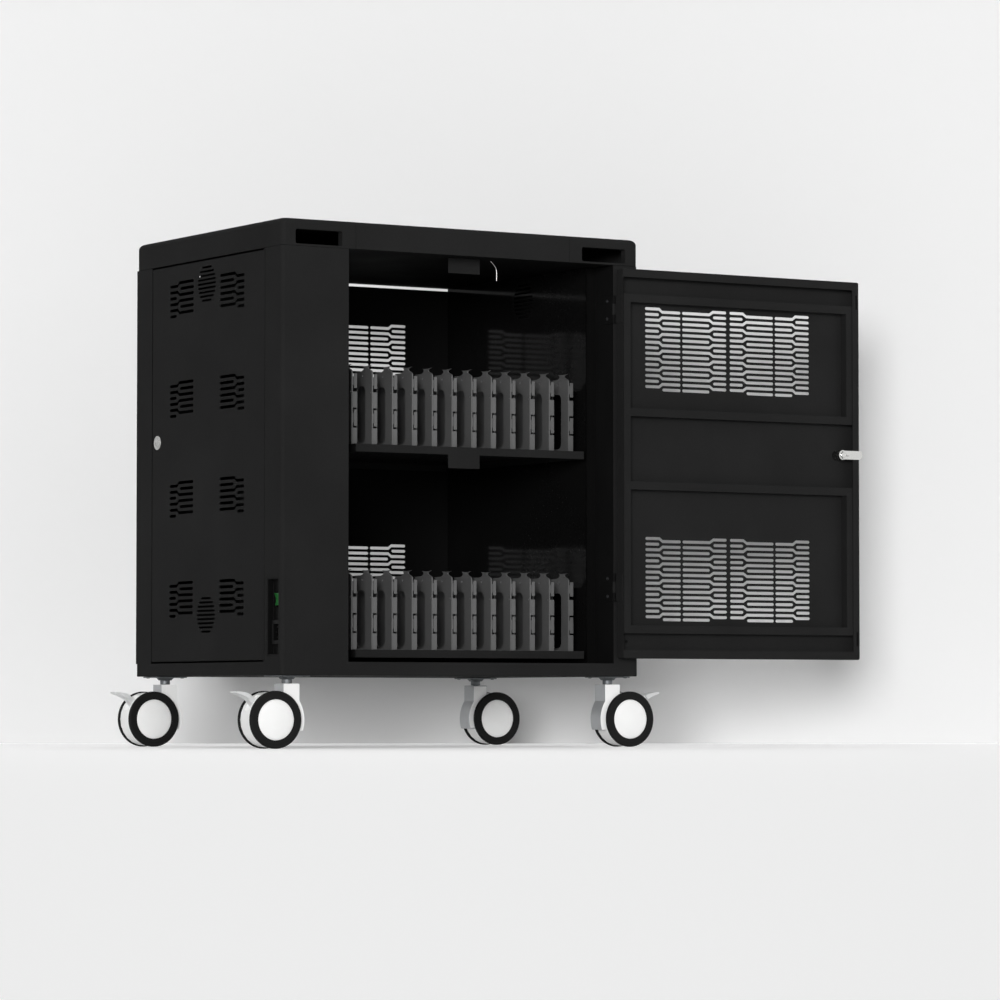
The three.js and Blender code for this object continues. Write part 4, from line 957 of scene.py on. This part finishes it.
class CART_OT_front_door(bpy.types.Operator):
    """Builds the open front door: vented skin, folded rim, stiffener and hinge leaves"""
    bl_idname = "cart.front_door"
    bl_label = "Front door"

    def execute(self, context):
        sizes = context.scene.cart_sizes
        coat = powder_coat()
        body = "front_door_body"
        fold = sizes.fold * 1000
        hinge, middle, free = [DOOR_HINGE_X + reach for reach in (3.4, 246, 527)]
        skin_lap, skin_thickness, lip = 11, 1.5, 15
        inner, back = DOOR_FACE - skin_thickness, -29.2
        skin = facing_sheet(
            "skin", sizes, middle, DOOR_FACE,
            (hinge + fold, free + skin_lap, DOOR_LOW + fold, DOOR_HIGH - fold), coat,
            holes=[circle(FRONT_LOCK_X - middle, FRONT_LOCK_Z, LOCK_HOLE),
                   circle(702 - middle, 189, 3)], thickness=skin_thickness)
        quarter = arc(0, 0, fold, 0, 90, 4)
        steps = [(fold - s,) * 4 + (DOOR_FACE - fold + c,) for c, s in quarter]
        steps += [(0,) + (fold - c,) * 3 + (back + fold - s,) for c, s in quarter]
        steps += [
            (0.2, lip, lip, lip, back), (1.3, lip, lip, lip, back + 1.5),
            (1.5, 3, 3, 3, back + 1.5), (1.5, 1.5, 1.5, 1.5, back + 3), (1.5, 1.5, 1.5, 1.5, inner)]
        rim = folded_pan(
            (hinge, free, DOOR_LOW, DOOR_HIGH), steps, lambda x, z, y: (x, y, z), 3.0)
        for z in (DOOR_LOW + LIP_SLOT_SET, DOOR_HIGH - LIP_SLOT_SET):
            self.lip_slot(rim, free - 8, free - 4, z - 13, z + 13, back + 2)
        finish_piece(
            "dressed_front_door", in_metres(joined(skin, rim)), coat, body, ("front_door",))
        dress("door_stiffener", 1.4, coat, body)
        for level in ("lower", "upper"):
            dress("door_hinge_leaf_" + level, 0.4, coat, body, 2,
                  name="door_leaf_" + level)
            # The frame's hinge leaves on the jamb take the darker coat: painted shade.
            dress("frame_hinge_leaf_" + level, 0.4, inner_coat(), "cabinet", 2,
                  name="frame_leaf_" + level)
        return {"FINISHED"}

    def lip_slot(self, bm, x0, x1, z0, z1, depth):
        """Cuts a slot through both faces of the folded lip and closes its sides."""
        for point, normal in (
                (x0 * RIGHT, RIGHT), (x1 * RIGHT, RIGHT), (z0 * UP, UP), (z1 * UP, UP)):
            bmesh.ops.bisect_plane(
                bm, geom=bm.verts[:] + bm.edges[:] + bm.faces[:], plane_co=point, plane_no=normal)
        doomed = []
        for face in bm.faces:
            middle = face.calc_center_median()
            if x0 < middle.x < x1 and z0 < middle.z < z1 and middle.y < depth:
                doomed.append(face)
        edges = {edge for face in doomed for edge in face.edges}
        bmesh.ops.delete(bm, geom=doomed, context="FACES")
        rims = [edge for edge in edges if edge.is_valid and edge.is_boundary]
        bmesh.ops.bridge_loops(bm, edges=rims)


class CART_OT_side_door(bpy.types.Operator):
    """Builds the lockable side door with its small vents"""
    bl_idname = "cart.side_door"
    bl_label = "Side door"

    def execute(self, context):
        sizes = context.scene.cart_sizes
        pitch = sizes.side_pitch * 1000
        front, rear, low, high = 63, 489, 153, 866
        fold, rim_depth = 2, 14
        skin = side_sheet(
            "side_skin", 0, (front + fold, rear - fold, low + fold, high - fold), powder_coat(),
            fan_holes(FAN_LEVELS) + [circle(SIDE_LOCK_Y - SIDE_MIDDLE, SIDE_LOCK_Z, LOCK_HOLE)],
            loops=vent_loops(
                flared_period(pitch, 0, 56, 63, 92, 3), SIDE_VENT_START,
                SIDE_VENT_LOW + 2.5 * pitch, sizes),
            rows=2, step=3 * pitch, levels=4, level_step=SIDE_VENT_LEVEL_STEP)
        steps = [(fold - s,) * 4 + (fold - c,) for c, s in arc(0, 0, fold, 0, 90, 4)]
        steps += [(0,) * 4 + (rim_depth,), (fold,) * 4 + (rim_depth,), (fold,) * 4 + (fold,)]
        rim = folded_pan((front, rear, low, high), steps, lambda y, z, x: (x, y, z), 2.5)
        for z0, z1 in ((145.5, 154), (865, 878.5)):
            add_lathe(rim, [
                (0, z0), (2.6, z0), (3, z0 + 0.5), (3, z1 - 0.5), (2.6, z1), (0, z1)],
                (5, 69, 0), UP, 24)
        # The side door's inner faces and rim take the darker coat: painted shade.
        with_painted_shade("side_door", in_metres(joined(skin, rim)), (RIGHT, BACK, -BACK, UP, -UP),
              "side_door_body")
        return {"FINISHED"}


class CART_OT_locks(bpy.types.Operator):
    """Builds the two key locks with their cams"""
    bl_idname = "cart.locks"
    bl_label = "Locks"

    def execute(self, context):
        self.lock("front", (FRONT_LOCK_X, DOOR_FACE, FRONT_LOCK_Z), -BACK, RIGHT, 25.0)
        self.lock("side", (0, SIDE_LOCK_Y, SIDE_LOCK_Z), RIGHT, -UP, 21.0)
        return {"FINISHED"}

    def lock(self, name, centre, axis, reach, length):
        """A turned barrel with its bezel proud of the skin, a keyway and a round-ended cam."""
        barrel = bmesh.new()
        add_lathe(barrel, [
            (0, -1.4), (5.5, -1.4), (6.2, -1.9), (7, -2.4), (11, -2.4), (12.6, -1.9), (13, -1.2),
            (13, -0.3), (9, -0.3), (9, length - 2.4), (5, length - 2.4), (5, length - 0.4),
            (4.4, length), (0, length)], centre, axis, 64)
        turn = axes(centre, reach, axis.cross(reach), axis)
        key = bmesh.new()
        add_block(key, (-1.1, -4.6, -1.7), (1.1, 4.6, -1.35), 0.1, 1)
        bmesh.ops.transform(key, matrix=turn, verts=key.verts)
        outline = []
        for end, start in ((2, 90), (38, -90)):
            outline += [(end + 5 * c, 8 * s) for c, s in arc(0, 0, 1, start, 180, 12)]
        cam = flat_plate([outline], length - 2.6, length - 0.8, lambda a, b, depth: (a, b, depth))
        add_lathe(
            cam, [(0, -0.1), (2.4, -0.25), (3, -0.5), (3, -1.2), (0, -1.2)], (9, 0, length), UP, 24)
        bmesh.ops.transform(cam, matrix=turn, verts=cam.verts)
        outward(cam)
        finish_piece(
            "dressed_%s_lock" % name, in_metres(joined(barrel, key, cam)), nickel(),
            name + "_lock_body", (name + "_lock",), 30)


class CART_OT_shelves(bpy.types.Operator):
    """Builds the perforated shelves and their slide rails"""
    bl_idname = "cart.shelves"
    bl_label = "Shelves"

    def execute(self, context):
        sizes = context.scene.cart_sizes
        step = sizes.hole_step * 1000
        radius = sizes.hole_size * 500
        middle = (SHELF_LEFT + SHELF_RIGHT) / 2
        wall, rim, inset = 2, 14, 0.6
        last_row, half_row, row_depth = 522, 225, 470
        holes = [
            circle((i + 0.5) * step, last_row, radius, 10) for i in range(int(half_row / step))]
        for level, top in SHELVES.items():
            deck = sheet(
                "deck_" + level,
                (SHELF_LEFT + inset - middle, SHELF_RIGHT - inset - middle, SHELF_FRONT + inset,
                 SHELF_REAR - inset), axes((middle, 0, top - wall), RIGHT, BACK, UP), powder_coat(),
                holes, rows=int(row_depth / step), step=step)
            for x0, x1, y0, y1 in (
                    (SHELF_LEFT, SHELF_RIGHT, SHELF_FRONT, SHELF_FRONT + wall),
                    (SHELF_LEFT, SHELF_RIGHT, SHELF_REAR - wall, SHELF_REAR),
                    (SHELF_LEFT, SHELF_LEFT + wall, SHELF_FRONT, SHELF_REAR),
                    (SHELF_RIGHT - wall, SHELF_RIGHT, SHELF_FRONT, SHELF_REAR)):
                add_block(deck, (x0, y0, top - rim), (x1, y1, top - 0.1), 0.7)
            if level == "upper":
                add_block(
                    deck, (TAB_LEFT, SHELF_FRONT + 0.05, top - 38),
                    (TAB_RIGHT, SHELF_FRONT + 1.95, top - 12), 0.7)
            finish_piece(
                "dressed_shelf_" + level, in_metres(deck), powder_coat(), "shelf_%s_body" % level,
                ("shelf_" + level,))
            for side in ("left", "right"):
                rail = "slide_rail_%s_%s" % (level, side)
                # The rails are black paint drawn in the darker coat, with painted shade on top of
                # it.
                dress(rail, 0.5, inner_coat(), "cabinet", 2)
        return {"FINISHED"}


class CART_OT_dividers(bpy.types.Operator):
    """Builds the two racks of moulded dividers"""
    bl_idname = "cart.dividers"
    bl_label = "Dividers"

    def execute(self, context):
        sizes = context.scene.cart_sizes
        plastic = divider_plastic()
        for level, top in SHELVES.items():
            divider = self.one()
            bmesh.ops.translate(
                divider, vec=(FIRST_DIVIDER_X, DIVIDER_FRONT, top), verts=divider.verts)
            row = as_object("divider_row", in_metres(divider))
            run_tree(row, row_tree(), {
                "Count": sizes.dividers, "Step": sizes.divider_step, "Material": plastic})
            strip = bmesh.new()
            add_block(strip, (173.6, 95, top + 0.3), (627.7, 297.8, top + 2.2), 0.5)
            finish_piece(
                "dressed_divider_rack_" + level, joined(as_bmesh(row), in_metres(strip)), plastic,
                "shelf_%s_body" % level, ("divider_rack_" + level,))
        return {"FINISHED"}

    def one(self):
        """One divider: a slotted web with a cable cleat on top, and a front strip in four parts."""
        outline = [(0.5, 0.3), (235, 0.3), (235, 77.5)] + arc(195, 77.5, 40, 0, 90, 8)[1:]
        outline += [
            (70, 117.5), (64, 124), (58, 130.6), (48, 131.2), (40, 131.5), (34, 132.6),
            (30, 134.6), (29, 136.8), (30.4, 139), (34, 140.8), (26, 140.1), (18, 139.9),
            (10, 140.2), (3, 140.9), (9, 139.7), (13, 138.5), (15, 137), (14.4, 135.4), (10, 133),
            (5, 131.3), (2, 129.6), (0.7, 127), (0.5, 124)]
        slot = round_rect(24, 56, 6, 105, 10)
        holes = [circle(4.6, 92.5, 1.9, 10), circle(33.4, 123.5, 2.1, 10)]
        web = flat_plate([outline, slot] + holes, -1.25, 1.25, lambda y, z, x: (x, y, z))
        outward(web)
        strip = bmesh.new()
        for left, low, high in (
                (1.0, 0.3, 29), (3.2, 32, 61), (1.0, 64.2, 92.4), (3.4, 98.5, 124.4)):
            add_block(strip, (left, 0.05, low), (9.7, 2.45, high), 0.5)
        for low, high in ((38, 55), (104, 119)):
            add_block(strip, (0.9, 1.2, low), (3.8, 2.4, high), 0.2)
        add_block(strip, (-1.9, 3, 130.4), (-1.1, 60, 131.4), 0.2)
        return joined(web, strip)


class CART_OT_power(bpy.types.Operator):
    """Builds the mains inlet, its rocker switch and the outlet strip"""
    bl_idname = "cart.power"
    bl_label = "Power"

    def execute(self, context):
        for node in ("power_inlet", "power_strip"):
            dress(node, 0.5, black_plastic(), "cabinet", 2)
        x, y, z = ROCKER
        half = 10.5
        outline = []
        for i in range(13):
            rise = -half + 2 * half * i / 12
            dish = 2.9 * (1 - (rise / half) ** 2)
            outline.append((-5 - 2 * (rise + half) / (2 * half) + dish, rise))
        outline += [(3, half), (3, -half)]
        rocker = bmesh.new()
        add_loft(rocker, [
            [(x + out, y + across, z + rise) for out, rise in outline]
            for across in (-8.8, -8.3, 8.3, 8.8)], capped=True)
        add_lathe(rocker, [(0, -9.6), (1.5, -9.6), (1.5, 9.6), (0, 9.6)], ROCKER, BACK, 20)
        outward(rocker)
        finish_piece(
            "dressed_rocker_switch", in_metres(rocker), rocker_lens(), "rocker_body",
            ("rocker_switch",))
        return {"FINISHED"}


class CART_OT_casters(bpy.types.Operator):
    """Builds the twin-wheel casters with their brake levers"""
    bl_idname = "cart.casters"
    bl_label = "Casters"

    def execute(self, context):
        for name in CASTERS:
            way = -1 if "left" in name else 1
            axle = Vector((*caster_spot(name), AXLE_HEIGHT)) + way * CASTER_TRAIL * RIGHT
            dress("caster_plate_" + name, 0.7, zinc(), "cabinet")
            self.fork(name, TO_ROW @ axle)
            self.wheels(name, axle, way * BACK)
            if name != "rear_right":
                dress("brake_lever_" + name, 1.0, lever_nylon(), "brake_" + name)
        return {"FINISHED"}

    def fork(self, name, axle):
        """The enamelled fork, and the pale core that it carries between the tyres."""
        def in_core(face):
            reach = face.calc_center_median() - axle
            return math.hypot(reach.x, reach.z) < CORE_REACH / 1000

        node, body = "caster_fork_" + name, "fork_" + name
        bm = softened(node, 1.8)
        core = split(bm, in_core)
        finish_piece("dressed_" + node, bm, fork_paint(), body, (node,), 28)
        finish_piece(
            "dressed_caster_core_" + name, core, hub_nylon(), body, angle=28)

    def wheels(self, name, axle, axis):
        """Domed hub caps on their axle, and two tyres with round shoulders."""
        body = "wheels_" + name
        hubs = bmesh.new()
        dome = [
            (0, 28), (8, 27.85), (16, 27.35), (23, 26.6), (29, 25.6), (33, 24.6), (34.8, 23.8),
            (35.5, 22.8), (35.5, 17.2), (35.2, 17), (0, 17)]
        for sign in (1, -1):
            add_lathe(hubs, dome, axle, sign * axis)
        add_lathe(hubs, [(0, -18), (4, -18), (4, 18), (0, 18)], axle, axis, 32)
        outward(hubs)
        node = "caster_hubs_" + name
        finish_piece(
            "dressed_" + node, in_metres(hubs), hub_nylon(), body, (node,), 30)
        bore, half = 35.8, 4.25
        profile = [(bore, -half), (46.5, -half)]
        profile += arc(47, -1.25, 3, -90, 90, 6) + arc(47, 1.25, 3, 0, 90, 6)
        profile += [(46.5, half), (bore, half), (bore, -half)]
        for side, sign in (("near", -1), ("far", 1)):
            tyre = bmesh.new()
            add_lathe(tyre, profile, axle + sign * TYRE_OFFSET * axis, axis)
            outward(tyre)
            node = "caster_tyre_%s_%s" % (name, side)
            finish_piece(
                "dressed_" + node, in_metres(tyre), tyre_rubber(), body, (node,), 40)


class CART_OT_fasteners(bpy.types.Operator):
    """Sets the screws of the frame's hinge leaves and the caster plates"""
    bl_idname = "cart.fasteners"
    bl_label = "Fasteners"

    def execute(self, context):
        jamb_x, jamb_y, jamb_holes = 679.2, 18, (-16, 16)
        plate_bottom, plate_holes = 124.7, (-23, 23)
        spots = [
            ((jamb_x, jamb_y, z + rise), -RIGHT) for z in HINGE_LEVELS for rise in jamb_holes]
        for name in CASTERS:
            x, y = caster_spot(name)
            spots += [
                ((x + dx, y + dy, plate_bottom), -UP) for dx in plate_holes for dy in plate_holes]
        bm = bmesh.new()
        add_lathe(bm, [
            (0, 0.5), (1.2, 0.5), (1.5, 1.0), (2.4, 0.9), (3.2, 0.5), (3.5, 0), (3.2, -0.4),
            (0, -0.4)], (0, 0, 0), UP, 16)
        outward(bm)
        bmesh.ops.scale(bm, vec=(0.001, 0.001, 0.001), verts=bm.verts)
        head = as_object("screw", bm)
        mesh = bpy.data.meshes.new("cabinet_screws")
        mesh.from_pydata([tuple(TO_ROW @ Vector(point)) for point, _ in spots], [], [])
        facing = mesh.attributes.new("facing", "FLOAT_VECTOR", "POINT")
        for item, (_, direction) in zip(facing.data, spots):
            item.vector = direction
        made = link("cabinet_screws", mesh)
        run_tree(made, fastener_tree(), {"Fastener": head, "Material": screw_steel()})
        bpy.data.objects.remove(head)
        rounded(made.data, 40)
        place(made, screw_steel(), "cabinet")
        return {"FINISHED"}


class CART_PT_panel(bpy.types.Panel):
    bl_label = "Laptop charging cart"
    bl_idname = "CART_PT_panel"
    bl_space_type = "VIEW_3D"
    bl_region_type = "UI"
    bl_category = "Cart"

    def draw(self, context):
        for settings in (context.scene.cart_sizes, context.scene.cart_colours):
            for name in settings.__annotations__:
                self.layout.prop(settings, name)
        for operator in OPERATORS:
            self.layout.operator(operator.bl_idname)


OPERATORS = (
    CART_OT_stage, CART_OT_shell, CART_OT_panels, CART_OT_front_door, CART_OT_side_door,
    CART_OT_locks, CART_OT_shelves, CART_OT_dividers, CART_OT_power, CART_OT_casters,
    CART_OT_fasteners,
)
CLASSES = (CartSizes, CartColours) + OPERATORS + (CART_PT_panel,)


def register():
    for item in CLASSES:
        bpy.utils.register_class(item)
    bpy.types.Scene.cart_sizes = bpy.props.PointerProperty(type=CartSizes)
    bpy.types.Scene.cart_colours = bpy.props.PointerProperty(type=CartColours)


def unregister():
    del bpy.types.Scene.cart_colours
    del bpy.types.Scene.cart_sizes
    for item in reversed(CLASSES):
        bpy.utils.unregister_class(item)


def main():
    register()
    for operator in OPERATORS:
        group, name = operator.bl_idname.split(".")
        getattr(getattr(bpy.ops, group), name)()


if __name__ == "__main__":
    main()
